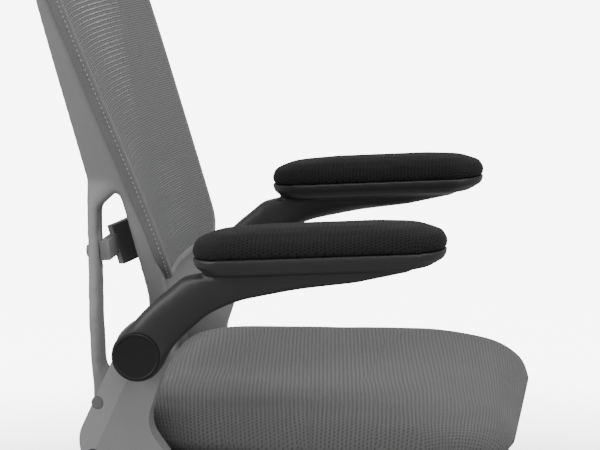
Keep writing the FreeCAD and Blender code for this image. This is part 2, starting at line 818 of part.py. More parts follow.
def bent_path(corners, radius):
    """Open path of straight runs joined by tangent arcs."""
    edges = []
    start = corners[0]
    for i in range(1, len(corners) - 1):
        here = corners[i]
        back = (corners[i - 1] - here).normalize()
        onward = (corners[i + 1] - here).normalize()
        half = back.getAngle(onward) / 2
        reach = radius / math.tan(half)
        crest = here + (back + onward).normalize() * (radius / math.sin(half) - radius)
        edges.append(Part.LineSegment(start, here + back * reach).toShape())
        edges.append(Part.Arc(here + back * reach, crest, here + onward * reach).toShape())
        start = here + onward * reach
    edges.append(Part.LineSegment(start, corners[-1]).toShape())
    return Part.Wire(edges)


# Seat plate: a flat steel plate with two ears that hang on the tilt pin
def seat_plate():
    body = new_body("seat_plate")
    flat = new_sketch(body, "XY_Plane", "plate_outline", S.plate_z)
    half = S.plate_w / 2
    draw_outline(flat, [
        (-half, -S.plate_front), (half, -S.plate_front), (half, S.plate_rear), (-half, S.plate_rear),
    ])
    pad(body, flat, "plate_flat", S.plate_t)
    inner = S.chassis_w / 2 + S.arm_gap
    ear_low = tilt_z - S.ear_below
    for word, start in (("right", -inner - S.plate_t), ("left", inner)):
        ear = new_sketch(body, "YZ_Plane", f"ear_{word}_outline", start)
        draw_outline(ear, [
            (-S.tilt_pin_fore - S.ear_below, ear_low), (-S.tilt_pin_fore + S.ear_below, ear_low),
            (-S.tilt_pin_fore + S.ear_l / 2, S.plate_z + S.plate_t / 2),
            (-S.plate_front, S.plate_z + S.plate_t / 2), (-S.plate_front, tilt_z),
        ])
        pad(body, ear, f"ear_{word}", S.plate_t)
    hole = new_sketch(body, "YZ_Plane", "ear_hole_outline", inner + S.plate_t + 1)
    draw_circle(hole, -S.tilt_pin_fore, tilt_z, S.tilt_pin_d + S.bearing_gap * 2)
    pocket(body, hole, "ear_holes", inner * 2 + S.plate_t * 2 + 2)
    bolts = new_sketch(body, "XY_Plane", "plate_bolt_outline", pan_z + 1)
    for x, y in plate_bolt_spots():
        draw_circle(bolts, x, y, S.plate_bolt_d + S.bearing_gap * 2)
    pocket(body, bolts, "plate_bolt_holes", S.plate_t + 2)
    return body


def plate_bolt_spots():
    across = S.plate_w / 2 - S.plate_bolt_head
    fore = -S.plate_front + S.plate_bolt_head * 2
    aft = S.plate_rear - S.plate_bolt_head
    return [(side * across, y) for side in (-1, 1) for y in (fore, aft)]


def bracket_bolt_spots():
    across = S.bracket_foot_in + S.bracket_bolt_head * 2
    fore = S.pivot_y - S.bracket_toe + S.bracket_bolt_head * 1.5
    aft = S.pivot_y - S.bracket_bolt_head * 1.5
    return [(side * across, y) for side in (-1, 1) for y in (fore, aft)]


def bolt(name, shank_d, shank_len, head_d, head_len, place):
    """Round-headed bolt along its own Z, with the head below the shank."""
    shank = cylinder(f"{name}_shank", shank_d, shank_len, at(0, 0, 0))
    head = cylinder(f"{name}_head", head_d, head_len, at(0, 0, -head_len))
    whole = fuse(name, [shank, head])
    whole.Placement = place
    return whole


def seat_bolts():
    upward = []
    thread_end = S.pan_t / 4
    shank_len = S.plate_t + S.pan_t - thread_end
    for i, (x, y) in enumerate(plate_bolt_spots()):
        place = at(x, y, S.plate_z)
        upward.append(bolt(f"plate_bolt_{i + 1}", S.plate_bolt_d, shank_len, S.plate_bolt_head,
                           S.plate_bolt_d - 1, place))
    sideward = []
    shank_len = S.bracket_foot_t + S.pan_t - thread_end
    for i, (x, y) in enumerate(bracket_bolt_spots()):
        place = at(x, y, foot_z)
        sideward.append(bolt(f"bracket_bolt_{i + 1}", S.bracket_bolt_d, shank_len, S.bracket_bolt_head,
                             S.bracket_bolt_d - 2, place))
    return [group("seat_plate_bolts", upward), group("bracket_bolts", sideward)]


def seat_loop(z, side_in, front_in, rear_in):
    """Plan outline of the seat at one height, drawn in from each edge."""
    front = -N.seat_front + front_in
    rear = N.seat_rear - rear_in
    front_half = N.seat_front_w / 2 - side_in
    rear_half = N.seat_rear_w / 2 - side_in
    corners = [Vector(-front_half, front, z), Vector(front_half, front, z),
               Vector(rear_half, rear, z), Vector(-rear_half, rear, z)]
    front_r = N.seat_front_round - side_in / 2
    rear_r = N.seat_rear_round - side_in / 2
    return rounded_loop(corners, [front_r, front_r, rear_r, rear_r])


# Seat pan: a dished moulding under the foam, drilled for the plate and bracket bolts
def seat_pan():
    low = pan_z.value
    shape = lofted([
        seat_loop(low, N.pan_inset * 2.5, N.pan_inset * 3, N.pan_inset * 2),
        seat_loop(low + N.pan_t / 2, N.pan_inset * 1.4, N.pan_inset * 1.6, N.pan_inset * 1.2),
        seat_loop(low + N.pan_t, N.pan_inset, N.pan_inset, N.pan_inset),
    ])
    for spots, diameter in ((plate_bolt_spots(), N.plate_bolt_d), (bracket_bolt_spots(), N.bracket_bolt_d)):
        for x, y in spots:
            spot = Vector(x.value, y.value, low - 1)
            shape = shape.cut(Part.makeCylinder(diameter / 2 + N.bearing_gap, N.pan_t - 1, spot))
    return shaped("seat_pan", shape)


# Seat cushion: drawn in at the pan, full at the side, crowned on top with a long roll at the front
def seat_cushion():
    low = cushion_z.value
    thick = N.cushion_t
    roll = N.cushion_roll
    loops = [
        seat_loop(low, N.pan_inset, N.pan_inset, N.pan_inset),
        seat_loop(low + 0.2 * thick, 0, 0, 0),
        seat_loop(low + 0.6 * thick, 0, 0.16 * roll, 0),
        seat_loop(low + 0.8 * thick, 0.1 * roll, 0.56 * roll, 0.1 * roll),
        seat_loop(low + 0.93 * thick, 0.4 * roll, 1.3 * roll, 0.35 * roll),
        seat_loop(low + thick, 1.2 * roll, 2.2 * roll, 1.1 * roll),
    ]
    return shaped("seat_cushion", lofted(loops))


# Side bracket: a boomerang plate with a slanted facet, the arm pivot boss and a foot under the seat
def bracket_right():
    body = new_body("bracket_right")
    y = S.pivot_y
    z = S.pivot_z
    foot_top = pan_z
    outer_x = -(S.bracket_in + S.bracket_t)
    plate = new_sketch(body, "YZ_Plane", "bracket_plate_outline", outer_x)
    boss_r = S.bracket_boss_d / 2
    waist_z = z - S.bracket_waist_below
    draw_outline(plate, [
        (y + boss_r, z - boss_r * 0.1), (y + S.bracket_elbow, waist_z - boss_r * 0.5),
        (y + S.bracket_elbow * 0.84, foot_z), (y - S.bracket_toe, foot_z), (y - S.bracket_toe, foot_top),
        (y - boss_r * 1.3, foot_top), (y - S.bracket_waist_fore, waist_z), (y - boss_r * 0.95, z),
    ])
    pad(body, plate, "bracket_plate", S.bracket_t)
    round_edges(body, "bracket_elbow_rounds", S.bracket_foot_t * 2, is_bracket_bend)
    facet = body.newObject("PartDesign::SubtractiveLoft", "bracket_facet")
    ends = []
    for word, drop in (("high", -boss_r), ("low", z - foot_z + 1)):
        ridge_y = y + S.bracket_ridge_aft + drop * S.bracket_ridge_slope
        reach = S.bracket_elbow * 1.5
        end = new_sketch(body, "XY_Plane", f"facet_{word}", z - drop)
        draw_outline(end, [
            (outer_x, ridge_y), (outer_x - 1, ridge_y), (outer_x - 1, ridge_y + reach),
            (outer_x + reach * S.bracket_facet_deep / S.bracket_facet, ridge_y + reach),
        ])
        ends.append(end)
    facet.Profile = ends[0]
    facet.Sections = ends[1:]
    boss = new_sketch(body, "YZ_Plane", "arm_boss_outline", outer_x)
    draw_circle(boss, y, z, S.bracket_boss_d)
    pad(body, boss, "arm_boss", S.bracket_t)
    foot = new_sketch(body, "XY_Plane", "bracket_foot_outline", foot_z)
    draw_outline(foot, [
        (-S.bracket_in - S.bracket_t / 2, y - S.bracket_toe), (-S.bracket_foot_in, y - S.bracket_toe),
        (-S.bracket_foot_in, y), (-S.bracket_in - S.bracket_t / 2, y + S.bracket_elbow / 2),
    ])
    pad(body, foot, "bracket_foot", S.bracket_foot_t)
    pivot = new_sketch(body, "YZ_Plane", "arm_pin_outline", -S.bracket_in + 1)
    draw_circle(pivot, y, z, S.arm_pin_d + S.bearing_gap * 2)
    pocket(body, pivot, "arm_pin_hole", S.bracket_t + 2)
    holes = new_sketch(body, "YZ_Plane", "back_bolt_outline", -S.bracket_in + 1)
    heads = new_sketch(body, "YZ_Plane", "back_bolt_heads_outline", -S.bracket_in - S.bracket_t / 2)
    for bolt_y, bolt_z in back_bolt_spots():
        draw_circle(holes, bolt_y, bolt_z, S.bracket_bolt_d + S.bearing_gap * 2)
        draw_circle(heads, bolt_y, bolt_z, S.bracket_bolt_head + S.running_gap * 2)
    pocket(body, holes, "back_bolt_holes", S.bracket_t + 2)
    pocket(body, heads, "back_bolt_heads", S.bracket_t)
    under = new_sketch(body, "XY_Plane", "bracket_bolt_outline", foot_top + 1)
    for bolt_x, bolt_y in bracket_bolt_spots()[:2]:
        draw_circle(under, bolt_x, bolt_y, S.bracket_bolt_d + S.bearing_gap * 2)
    pocket(body, under, "bracket_bolt_holes", S.bracket_foot_t + 2)
    return body


def is_bracket_bend(edge):
    """Sideways edges at the elbow, the heel, the waist and the inner corner of the bracket."""
    spot = middle(edge)
    sideways = abs(edge.tangentAt(edge.FirstParameter).x) > 0.99
    low = spot.z < N.pivot_z - N.bracket_boss_d / 2
    return sideways and low and spot.y > N.pivot_y - N.bracket_toe + 1


def back_bolt_spots():
    top = S.pivot_z - S.back_bolt_below
    return [(S.pivot_y + S.back_bolt_aft + 4 * i, top - S.back_bolt_pitch * i) for i in (0, 1)]


def back_bolts():
    bolts = []
    seat_x = S.bracket_in + S.bracket_t / 2
    for side, word in ((-1, "right"), (1, "left")):
        for i, (y, z) in enumerate(back_bolt_spots()):
            place = at(side * seat_x.value, y, z, Rotation(Vector(0, 1, 0), -90 * side))
            shank_len = S.bracket_t / 2 + S.strap_foot_t
            bolts.append(bolt(f"back_bolt_{word}_{i + 1}", S.bracket_bolt_d, shank_len,
                              S.bracket_bolt_head, S.bracket_bolt_d - 2, place))
    return group("back_bolts", bolts)


def arm_pivots():
    pins = []
    reach = S.bracket_t + S.arm_gap + S.arm_hub_w - S.cap_t - S.arm_pin_head_h
    for side, word in ((-1, "right"), (1, "left")):
        start = side * (arm_x + S.arm_hub_w - S.cap_t - S.arm_pin_head_h).value
        place = at(start, S.pivot_y, S.pivot_z, Rotation(Vector(0, 1, 0), -90 * side))
        head_h = S.arm_pin_head_h - S.running_gap
        pins.append(bolt(f"arm_pin_{word}", S.arm_pin_d, reach, S.arm_pin_head_d, head_h, place))
    return group("arm_pivots", pins)


def side_point(x, forward, up):
    return Vector(x, -forward, up)


def seam_up(forward):
    """Height of the seam between tray and pad, which rises gently to the front."""
    return N.pad_up + (forward - N.pad_aft) * math.tan(math.radians(N.pad_rise))


def pad_loop(rise, inset, rear_in=0, front_in=0):
    """Plan outline of the armrest pad, offset square to the seam and drawn in."""
    centre_x = -(N.arm_hub_w / 2 + N.pad_out)
    half = N.pad_w / 2 - inset
    ends = (N.pad_aft + inset + rear_in, N.pad_aft + N.pad_len - inset - front_in)
    corners = []
    for forward, sides in ((ends[0], (-1, 1)), (ends[1], (1, -1))):
        for side in sides:
            corners.append(side_point(centre_x + side * half, forward, seam_up(forward) + rise))
    return rounded_loop(corners, [min(N.pad_end_round, 0.9 * half)] * 4)


# Armrest shell: pivot hub, curved neck that thins out under a boat-shaped tray
def arm_shell():
    across = Vector(1, 0, 0)
    hub_x = -N.arm_hub_w / 2
    tray_x = hub_x - N.pad_out
    rise = N.pad_up
    aft = N.pad_aft
    stations = [
        (hub_x, 0, 0, 60, N.arm_neck_h, N.arm_neck_w),
        (hub_x, 0.32 * aft, 0.25 * rise, 50, N.arm_neck_h, N.arm_neck_w),
        (hub_x, 0.6 * aft, 0.4 * rise, 45, N.arm_neck_h, N.arm_neck_w),
        (hub_x - 0.3 * N.pad_out, aft, 0.59 * rise, 36, 0.94 * N.arm_neck_h, N.arm_neck_w + 1),
    ]
    for share, drop, slope, tall, wide in (
        (0.15, 1.6, 16, 0.72, 0.5), (0.4, 1.2, 11, 0.6, 0.55), (0.65, 0.93, 10, 0.5, 0.57),
        (0.84, 0.62, 12, 0.42, 0.48), (0.95, 0.3, 20, 0.22, 0.28),
    ):
        forward = aft + share * N.pad_len
        stations.append((tray_x, forward, seam_up(forward) - drop * N.tray_t, slope,
                         tall * N.arm_neck_h, wide * N.pad_w))
    wires = []
    for x, forward, up, slope, tall, wide in stations:
        tilt = math.radians(slope)
        along = side_point(0, -math.sin(tilt), math.cos(tilt))
        wires.append(section(side_point(x, forward, up), across, along, wide, tall, N.arm_section_round))
    beam = lofted(wires)
    tray = lofted([
        pad_loop(0, 0), pad_loop(-0.45 * N.tray_t, 2),
        pad_loop(-0.85 * N.tray_t, 9, 3, 8), pad_loop(-N.tray_t, 17, 6, 18),
    ])
    hub = Part.makeCylinder(N.arm_hub_d / 2, N.arm_hub_w, Vector(-N.arm_hub_w, 0, 0), Vector(1, 0, 0))
    shell = hub.fuse([beam, tray]).removeSplitter()
    outer = -N.arm_hub_w
    face = Vector(outer, 0, 0)
    recess = Part.makeCylinder(N.cap_d / 2 + N.bearing_gap, N.cap_t, face, across)
    head_r = N.arm_pin_head_d / 2 + N.running_gap
    head = Part.makeCylinder(head_r, N.cap_t + N.arm_pin_head_h, face, across)
    bore = Part.makeCylinder(N.arm_pin_d / 2 + N.bearing_gap, N.arm_hub_w + 2, face - across, across)
    shell = shell.cut([recess, head, bore])
    return shaped("arm_shell_right", shell, at(-arm_x, S.pivot_y, S.pivot_z))


# Armrest pad: full round sides over the tray and a soft crown
def arm_pad():
    thick = N.pad_t
    soft = lofted([
        pad_loop(0, 1), pad_loop(0.3 * thick, 0), pad_loop(0.62 * thick, 2, 1, 3),
        pad_loop(0.86 * thick, 9, 12, 16), pad_loop(thick, 24, 50, 42),
    ])
    return shaped("arm_pad_right", soft, at(-arm_x, S.pivot_y, S.pivot_z))


def hub_cap():
    body = turned("hub_cap_right", [
        (0, 0), (S.cap_d / 2, 0), (S.cap_d / 2, S.cap_t), (S.cap_d / 2 - 1, S.cap_t + 1.2),
        (S.cap_d / 2 - 2.5, S.cap_t + 1.2), (S.cap_d / 2 - 3.5, S.cap_t + 0.4), (0, S.cap_t + 0.8),
    ])
    start = -(arm_x + S.arm_hub_w - S.cap_t)
    body.Placement = at(start, S.pivot_y, S.pivot_z, Rotation(Vector(0, 1, 0), -90))
    return body


def lean(z):
    """Forward reach of the backrest's edge from the arm pivot: a soft knee at the lumbar crest."""
    slope = N.back_lean if z > N.lumbar_z else N.tail_lean
    return N.lumbar_fore - slope * (math.hypot(z - N.lumbar_z, N.lumbar_knee) - N.lumbar_knee)


def side_width(z):
    """Half width of the mesh opening, before its corners are rounded."""
    span = N.shoulder_z - N.mesh_low_z
    share = min(max((z - N.mesh_low_z) / span, 0), 1)
    ease = 0.45 * share + 0.55 * share * share * (3 - 2 * share)
    return N.waist_w + (N.shoulder_w - N.waist_w) * ease


def opening_width(z):
    """Half width of the mesh opening with its rounded corners."""
    width = side_width(z)
    for end, radius in ((z - N.mesh_low_z, N.mesh_low_round), (N.mesh_top_z - z, N.mesh_top_round)):
        if end < radius:
            width -= radius - math.sqrt(max(radius ** 2 - (radius - end) ** 2, 0))
    return width


def front_point(x, z):
    """Point of the backrest's front surface, which wraps round the sitter."""
    share = (z - N.rail_low_z) / (N.mesh_top_z - N.rail_low_z)
    wrap = N.wrap_low + (N.wrap_top - N.wrap_low) * share
    hollow = wrap * (1 - min(abs(x) / side_width(z), 1) ** 2)
    return Vector(x, N.pivot_y - lean(z) + hollow, z)


def rim_section(inner, outer, depth):
    """Section of the rim between two points of the front surface, with its depth behind the mesh."""
    start = front_point(*inner)
    finish = front_point(*outer)
    across = finish - start
    width = across.Length
    behind = Vector(0, 1, 0)
    centre = (start + finish) * 0.5 + behind * (depth / 2 + N.mesh_t + N.mesh_seat)
    return section(centre, across.normalize(), behind, width, depth, N.rim_round)


def corner_points(centre_x, centre_z, radius, angles):
    spots = []
    for angle in angles:
        turn = math.radians(angle)
        spots.append((centre_x + radius * math.cos(turn), centre_z + radius * math.sin(turn)))
    return spots


def half_rim():
    """Left half of the frame's rim, from the middle of the low rail round to the middle of the top rail."""
    low_z = N.mesh_low_z + N.mesh_low_round
    low_x = side_width(low_z) - N.mesh_low_round
    top_z = N.mesh_top_z - N.mesh_top_round
    top_x = side_width(top_z) - N.mesh_top_round
    rail_x = N.waist_w - N.rail_round
    low_angles = (-90, -45, 0)
    inner = [(x, N.mesh_low_z + N.rim_w) for x in (-low_x / 2, 0, low_x / 2)]
    inner += corner_points(low_x, low_z, N.mesh_low_round - N.rim_w, low_angles)
    outer = [(x, N.rail_low_z) for x in (-low_x / 2, 0, low_x / 2)]
    outer += corner_points(rail_x, N.rail_low_z + N.rail_round, N.rail_round, low_angles)
    depths = [N.rail_d] * 4 + [0.55 * (N.rail_d + N.rim_d), 0.9 * N.rim_d]
    for share in (0.15, 0.4, 0.65, 0.9):
        z = low_z + share * (top_z - low_z)
        inner.append((side_width(z) - N.rim_w, z))
        outer.append((side_width(z), z - 0.1 * N.rim_w))
        depths.append(N.rim_d)
    top_angles = (0, 30, 60, 90)
    inner += corner_points(top_x, top_z, N.mesh_top_round - N.rim_w, top_angles)
    outer += corner_points(top_x, top_z, N.mesh_top_round, top_angles)
    rail_shares = (0.66, 0.33, 0, -0.33)
    inner += [(top_x * share, N.mesh_top_z - N.rim_w) for share in rail_shares]
    outer += [(top_x * share, N.mesh_top_z) for share in rail_shares]
    depths += [N.rim_d] * (len(top_angles) + len(rail_shares))
    whole = lofted([rim_section(*each) for each in zip(inner, outer, depths)])
    corner = Vector(-2 * top_x, -N.mesh_top_z, 0)
    other_half = Part.makeBox(2 * top_x, 2 * N.mesh_top_z, 2 * N.mesh_top_z, corner)
    return whole.cut(other_half)


def strap_front(z):
    """How far behind the arm pivot the front face of the straight strap lies."""
    return N.strap_aft - N.strap_t + (z - N.pivot_z) * strap_slope()


def strap_slope():
    """The strap leans back a quarter as much as the mesh."""
    return N.back_lean / 4


def strap():
    """Left rear strap: bolted foot, flat spring leaf, and a flank that runs into the rim."""
    stations = []
    foot_out = N.bracket_in - N.running_gap
    slot_top = N.lumbar_slot_z + N.lumbar_travel
    join_z = slot_top + N.strap_arch_top * N.lumbar_h
    foot_top = N.pivot_z - N.back_bolt_below + N.bracket_bolt_head
    foot_mid = N.strap_aft - N.strap_t + (foot_top - N.pivot_z) * strap_slope()
    for z in (N.strap_foot_z, 0.5 * (N.strap_foot_z + foot_top), foot_top):
        foot_back = foot_mid + N.strap_t
        stations.append((z, N.strap_in, foot_out, foot_back - N.strap_foot_t, foot_back))
    low = foot_top + 1.5 * N.strap_t
    high = slot_top + N.strap_arch_low * N.lumbar_h
    join_out = side_width(join_z) - N.strap_step
    for i in range(4):
        z = low + (high - low) * i / 3
        share = (z - low) / (join_z - low)
        outside = foot_out + (join_out - foot_out) * share * share * (3 - 2 * share)
        stations.append((z, outside - N.strap_w, outside, strap_front(z), strap_front(z) + N.strap_t))
    for share, overlap in ((0, 0.6), (0.25, 0.7), (0.5, 0.7), (0.75, 0.7), (1, 0.8)):
        z = join_z + share * (N.shoulder_z - join_z)
        outside = side_width(z) - N.strap_step
        inside = outside - 1.6 * N.rim_w
        front = -lean(z) + overlap * N.rim_d
        behind = -lean(z) + N.rim_d + (1 - share) * N.flank_d + 2
        stations.append((z, inside, outside, front, behind))
    wires = []
    for z, inside, outside, front, behind in stations:
        facet_deep = N.strap_facet * (behind - front)
        facet_wide = N.strap_facet_lean * facet_deep
        outline = [
            (inside, front), (outside, front), (outside, behind - facet_deep),
            (outside - facet_wide, behind), (inside, behind),
        ]
        corners = [Vector(x, N.pivot_y + y, z) for x, y in outline]
        wires.append(rounded_loop(corners, [N.strap_round] * len(corners)))
    return lofted(wires)


# Back frame: a rim that carries the mesh, and two rear straps with slots for the lumbar support
def back_frame():
    slot_h = 2 * (N.lumbar_travel + N.strap_t * strap_slope()) + N.lumbar_slot_w
    slot_deep = 4 * N.strap_t
    slot_y = N.pivot_y + N.strap_aft - 2.5 * N.strap_t
    slot_corner = Vector(N.lumbar_slot_x - N.lumbar_slot_w / 2, slot_y, N.lumbar_slot_z - slot_h / 2)
    slot = Part.makeBox(N.lumbar_slot_w, slot_deep, slot_h, slot_corner)
    half = half_rim().fuse(strap()).cut(slot)
    for y, z in back_bolt_spots():
        start = Vector(N.bracket_in + 1, y.value, z.value)
        hole_r = N.bracket_bolt_d / 2 + N.bearing_gap
        half = half.cut(Part.makeCylinder(hole_r, N.strap_foot_t + 2, start, Vector(-1, 0, 0)))
    other = half.mirror(Vector(0, 0, 0), Vector(1, 0, 0))
    return shaped("back_frame", half.fuse(other))


def bowed_strip(left, centre, right, back):
    """Closed section between an arc through three points and the same arc moved back."""
    front_arc = Part.Arc(left, centre, right)
    rear_arc = Part.Arc(right + back, centre + back, left + back)
    right_end = Part.LineSegment(right, right + back)
    left_end = Part.LineSegment(left + back, left)
    return Part.Wire([each.toShape() for each in (front_arc, right_end, rear_arc, left_end)])


# Back mesh: a thin stretched skin that fills the rim
def back_mesh():
    low = N.mesh_low_z + N.mesh_fit
    high = N.mesh_top_z - N.mesh_fit
    heights = [low, low + 0.15 * N.mesh_low_round, low + 0.5 * N.mesh_low_round, low + N.mesh_low_round]
    straight = high - N.mesh_top_round - heights[-1]
    heights += [heights[-1] + straight * share for share in (0.2, 0.4, 0.6, 0.8, 1)]
    heights += [high - 0.5 * N.mesh_top_round, high - 0.15 * N.mesh_top_round, high]
    back = Vector(0, N.mesh_t, 0)
    wires = []
    for z in heights:
        half = opening_width(z) - N.mesh_fit
        left, centre, right = (front_point(x, z) for x in (half, 0, -half))
        wires.append(bowed_strip(left, centre, right, back))
    return shaped("back_mesh", lofted(wires))


# Lumbar support: a bowed strip behind the mesh with a peg in each strap's slot
def lumbar_support():
    half = N.lumbar_w / 2
    tilt = N.back_lean * 0.85
    wires = []
    for rise in (-N.lumbar_h / 2, N.lumbar_h / 2):
        z = N.lumbar_slot_z + rise
        centre = Vector(0, N.pivot_y + N.lumbar_aft + rise * tilt, z)
        ends = [centre + Vector(side * half, N.lumbar_bow, 0) for side in (1, -1)]
        back = Vector(0, N.lumbar_t, 0)
        wires.append(bowed_strip(ends[0], centre, ends[1], back))
    bow = lofted(wires)
    tab_h = N.lumbar_h / 2
    strap_y = N.pivot_y + strap_front(N.lumbar_slot_z)
    face = strap_y - 2 * N.running_gap
    tab_start = N.pivot_y + N.lumbar_aft + N.lumbar_bow
    behind = Vector(0, 1, 0)
    pieces = []
    for side in (1, -1):
        inside = half - 2 * N.lumbar_t
        outside = N.lumbar_slot_x + N.lumbar_slot_w
        low_x = inside if side > 0 else -outside
        tab = Part.makeBox(outside - inside, face - tab_start, tab_h,
                           Vector(low_x, tab_start, N.lumbar_slot_z - tab_h / 2))
        peg_r = N.lumbar_slot_w / 2 - N.running_gap
        peg_len = N.strap_t + 4 * N.running_gap
        start = Vector(side * N.lumbar_slot_x, face, N.lumbar_slot_z)
        peg = Part.makeCylinder(peg_r, peg_len, start, behind)
        head = Part.makeCylinder(0.8 * N.lumbar_slot_w, N.lumbar_t / 2, start + behind * peg_len, behind)
        pieces.append(tab.fuse([peg, head]))
    lean_back = -math.degrees(math.atan(strap_slope()))
    for piece in pieces:
        piece.rotate(Vector(0, strap_y, N.lumbar_slot_z), Vector(1, 0, 0), lean_back)
    return shaped("lumbar_support", bow.fuse(pieces).removeSplitter())


nodes = [star_base()]
nodes += column_parts()
nodes += column_covers()
stems = []
for spoke in range(int(N.spoke_count)):
    hood, wheels, stem = caster(spoke)
    nodes += [hood, *wheels]
    stems.append(stem)
nodes.append(group("caster_stems", stems))
nodes.append(tilt_chassis())
pin_len = S.chassis_w + (S.arm_gap + S.plate_t) * 2 + 6
pin_place = at(-pin_len / 2, -S.tilt_pin_fore, tilt_z, ALONG_X)
nodes.append(cylinder("tilt_pin", S.tilt_pin_d, pin_len, pin_place))
nodes += tension_parts()
nodes += lever_parts()
nodes.append(seat_plate())
nodes += seat_bolts()
nodes += [seat_pan(), seat_cushion()]
bracket = bracket_right()
nodes += [bracket, mirrored("bracket_left", bracket)]
nodes += [back_bolts(), arm_pivots()]
for right in (arm_shell(), arm_pad(), hub_cap()):
    nodes += [right, mirrored(right.Name.replace("right", "left"), right)]
nodes += [back_frame(), back_mesh(), lumbar_support()]
doc.recompute()

failed = [each.Name for each in doc.Objects if "Invalid" in each.State or "Error" in each.State]
failed += [node.Label for node in nodes if not node.Shape.isValid() or node.Shape.Volume <= 0]
if failed:
    raise RuntimeError(f"not built: {failed}")
os.makedirs("parts", exist_ok=True)
for node in nodes:
    node.Shape.exportStep(f"parts/{node.Label}.step")
print(len(nodes), "sub-parts written")
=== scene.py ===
import json
import math

import bmesh
import bpy
from mathutils import Matrix, Vector


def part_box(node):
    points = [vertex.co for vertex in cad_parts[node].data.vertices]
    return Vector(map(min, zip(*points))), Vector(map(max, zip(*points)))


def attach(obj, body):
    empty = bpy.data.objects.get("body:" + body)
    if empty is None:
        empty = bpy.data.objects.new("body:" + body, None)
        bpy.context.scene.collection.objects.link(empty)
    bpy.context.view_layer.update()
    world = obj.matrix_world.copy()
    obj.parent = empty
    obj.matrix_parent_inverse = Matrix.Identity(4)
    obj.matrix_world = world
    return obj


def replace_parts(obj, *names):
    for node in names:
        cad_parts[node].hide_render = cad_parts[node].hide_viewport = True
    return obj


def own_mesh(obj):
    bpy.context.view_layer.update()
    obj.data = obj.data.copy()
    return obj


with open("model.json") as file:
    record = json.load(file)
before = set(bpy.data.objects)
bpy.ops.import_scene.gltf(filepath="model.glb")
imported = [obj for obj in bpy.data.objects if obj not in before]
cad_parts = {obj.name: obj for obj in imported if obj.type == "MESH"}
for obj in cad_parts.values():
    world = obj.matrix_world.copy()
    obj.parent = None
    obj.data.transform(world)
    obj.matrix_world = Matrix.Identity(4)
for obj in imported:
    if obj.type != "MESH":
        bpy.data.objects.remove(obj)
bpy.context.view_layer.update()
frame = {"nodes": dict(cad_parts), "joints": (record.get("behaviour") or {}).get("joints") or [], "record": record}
record = frame["record"]
slot_of = {part["node"]: part["material_slot"] for part in record["subparts"]}
body_of = {node: body for body, nodes in record["behaviour"]["bodies"].items() for node in nodes}
arm_flip = next(joint for joint in frame["joints"] if joint["name"] == "arm_flip_right")

SIDES = ("right", "left")
CASTERS = 5

# Sizes are in metres, and heights are measured from the floor
# Backrest: the net's outline, and the curved surface that it lies on, as the frame has them
_, PIVOT_Y, PIVOT_Z = arm_flip["pos_m"]
MESH_LOW = 0.562
MESH_TOP = 1.012
RAIL_LOW = 0.467
WAIST_HALF = 0.158
SHOULDER_HALF = 0.226
SHOULDER_Z = 0.920
FLARE_EASE = 0.55
LOW_ROUND = 0.045
TOP_ROUND = 0.070
LUMBAR_Z = 0.550
LUMBAR_FORE = 0.015
LUMBAR_KNEE = 0.030
BACK_LEAN = 0.36
TAIL_LEAN = 0.12
WRAP_LOW = 0.012
WRAP_TOP = 0.028

# Steps along half of the net's edge, from the middle of its low side to the middle of its top
LOW_STEPS = 7
LOW_TURN_STEPS = 8
SIDE_STEPS = 22
TOP_TURN_STEPS = 10
TOP_STEPS = 8

# Net: its mesh, its mean lean, what the lean adds to its length, and its knit
NET_INSET = 0.002
NET_COLUMNS = 56
NET_ROWS = 80
NET_LEAN = 0.9 * BACK_LEAN
RIB_PITCH = 0.0027
LOOP_PITCH = 0.0021

# The net opens towards the middle of its upper half, from this place along it and over this distance
NET_OPEN_FROM = 0.72
NET_OPEN_OVER = 0.32

# Hem: each row's inset from the net's edge and its depth behind the net's surface
HEM_OUT = 0.0012
HEM_ROWS = (
    (0.0090, 0.0002),
    (0.0084, -0.0008),
    (0.0020, -0.0010),
    (-HEM_OUT, 0.0012),
    (-HEM_OUT, 0.0125),
    (0.0004, 0.0130),
)

# Inset at which the hem takes the surface's direction, and its weave in radians per metre
HEM_SQUARE = 0.004
HEM_WEAVE = 4200

# Stitches along the hem's side
STITCH_DEPTH = 0.0042
STITCH_PITCH = 0.0058
STITCH_LENGTH = 0.0034
STITCH_THICK = 0.0011
STITCH_LIFT = 0.1 * STITCH_THICK

# Fabric patterns of the seat and the arm pads
SEAT_PITCH = 0.0047
SEAT_SLANT = 0.13
PAD_PITCH = 0.0044

# Covers: the cloth's stiffness and its steps, and how far a cover may stand out of its solid's box
COVER_STIFFNESS = 25
COVER_STEPS = 20
COVER_SINK = 0.002
COVER_RISE = 0.003

# Lumbar slots in the straps: the middle of the left one, and half of its width, depth and height
SLOT_X = 0.172
SLOT_Y = 0.252
SLOT_Z = 0.600
SLOT_HALF = Vector((0.0046, 0.030, 0.026))

# How far the spring's ends give way
SPRING_TILT_GIVE = 0.0150
SPRING_CUP_GIVE = 0.0062

# The arm's neck flows from this far round the pivot up to this height, and the flow fades in and out
HUB_KEEP = 0.027
NECK_TOP = 0.592
NECK_FADE = 0.010
FLOW_ROUNDS = 4
FLOW_STRENGTH = 30
FLOW_SCALE = 20

# Points closer than this are one, and faces that turn by less than this many degrees lie in one plane
WELD = 2e-6
FLAT_ANGLE = 0.5

# Degrees past which an edge is sharp, on most pieces, on the brackets' facets and after a cut
EDGE_ANGLE = 35
BRACKET_ANGLE = 12
CUT_ANGLE = 40

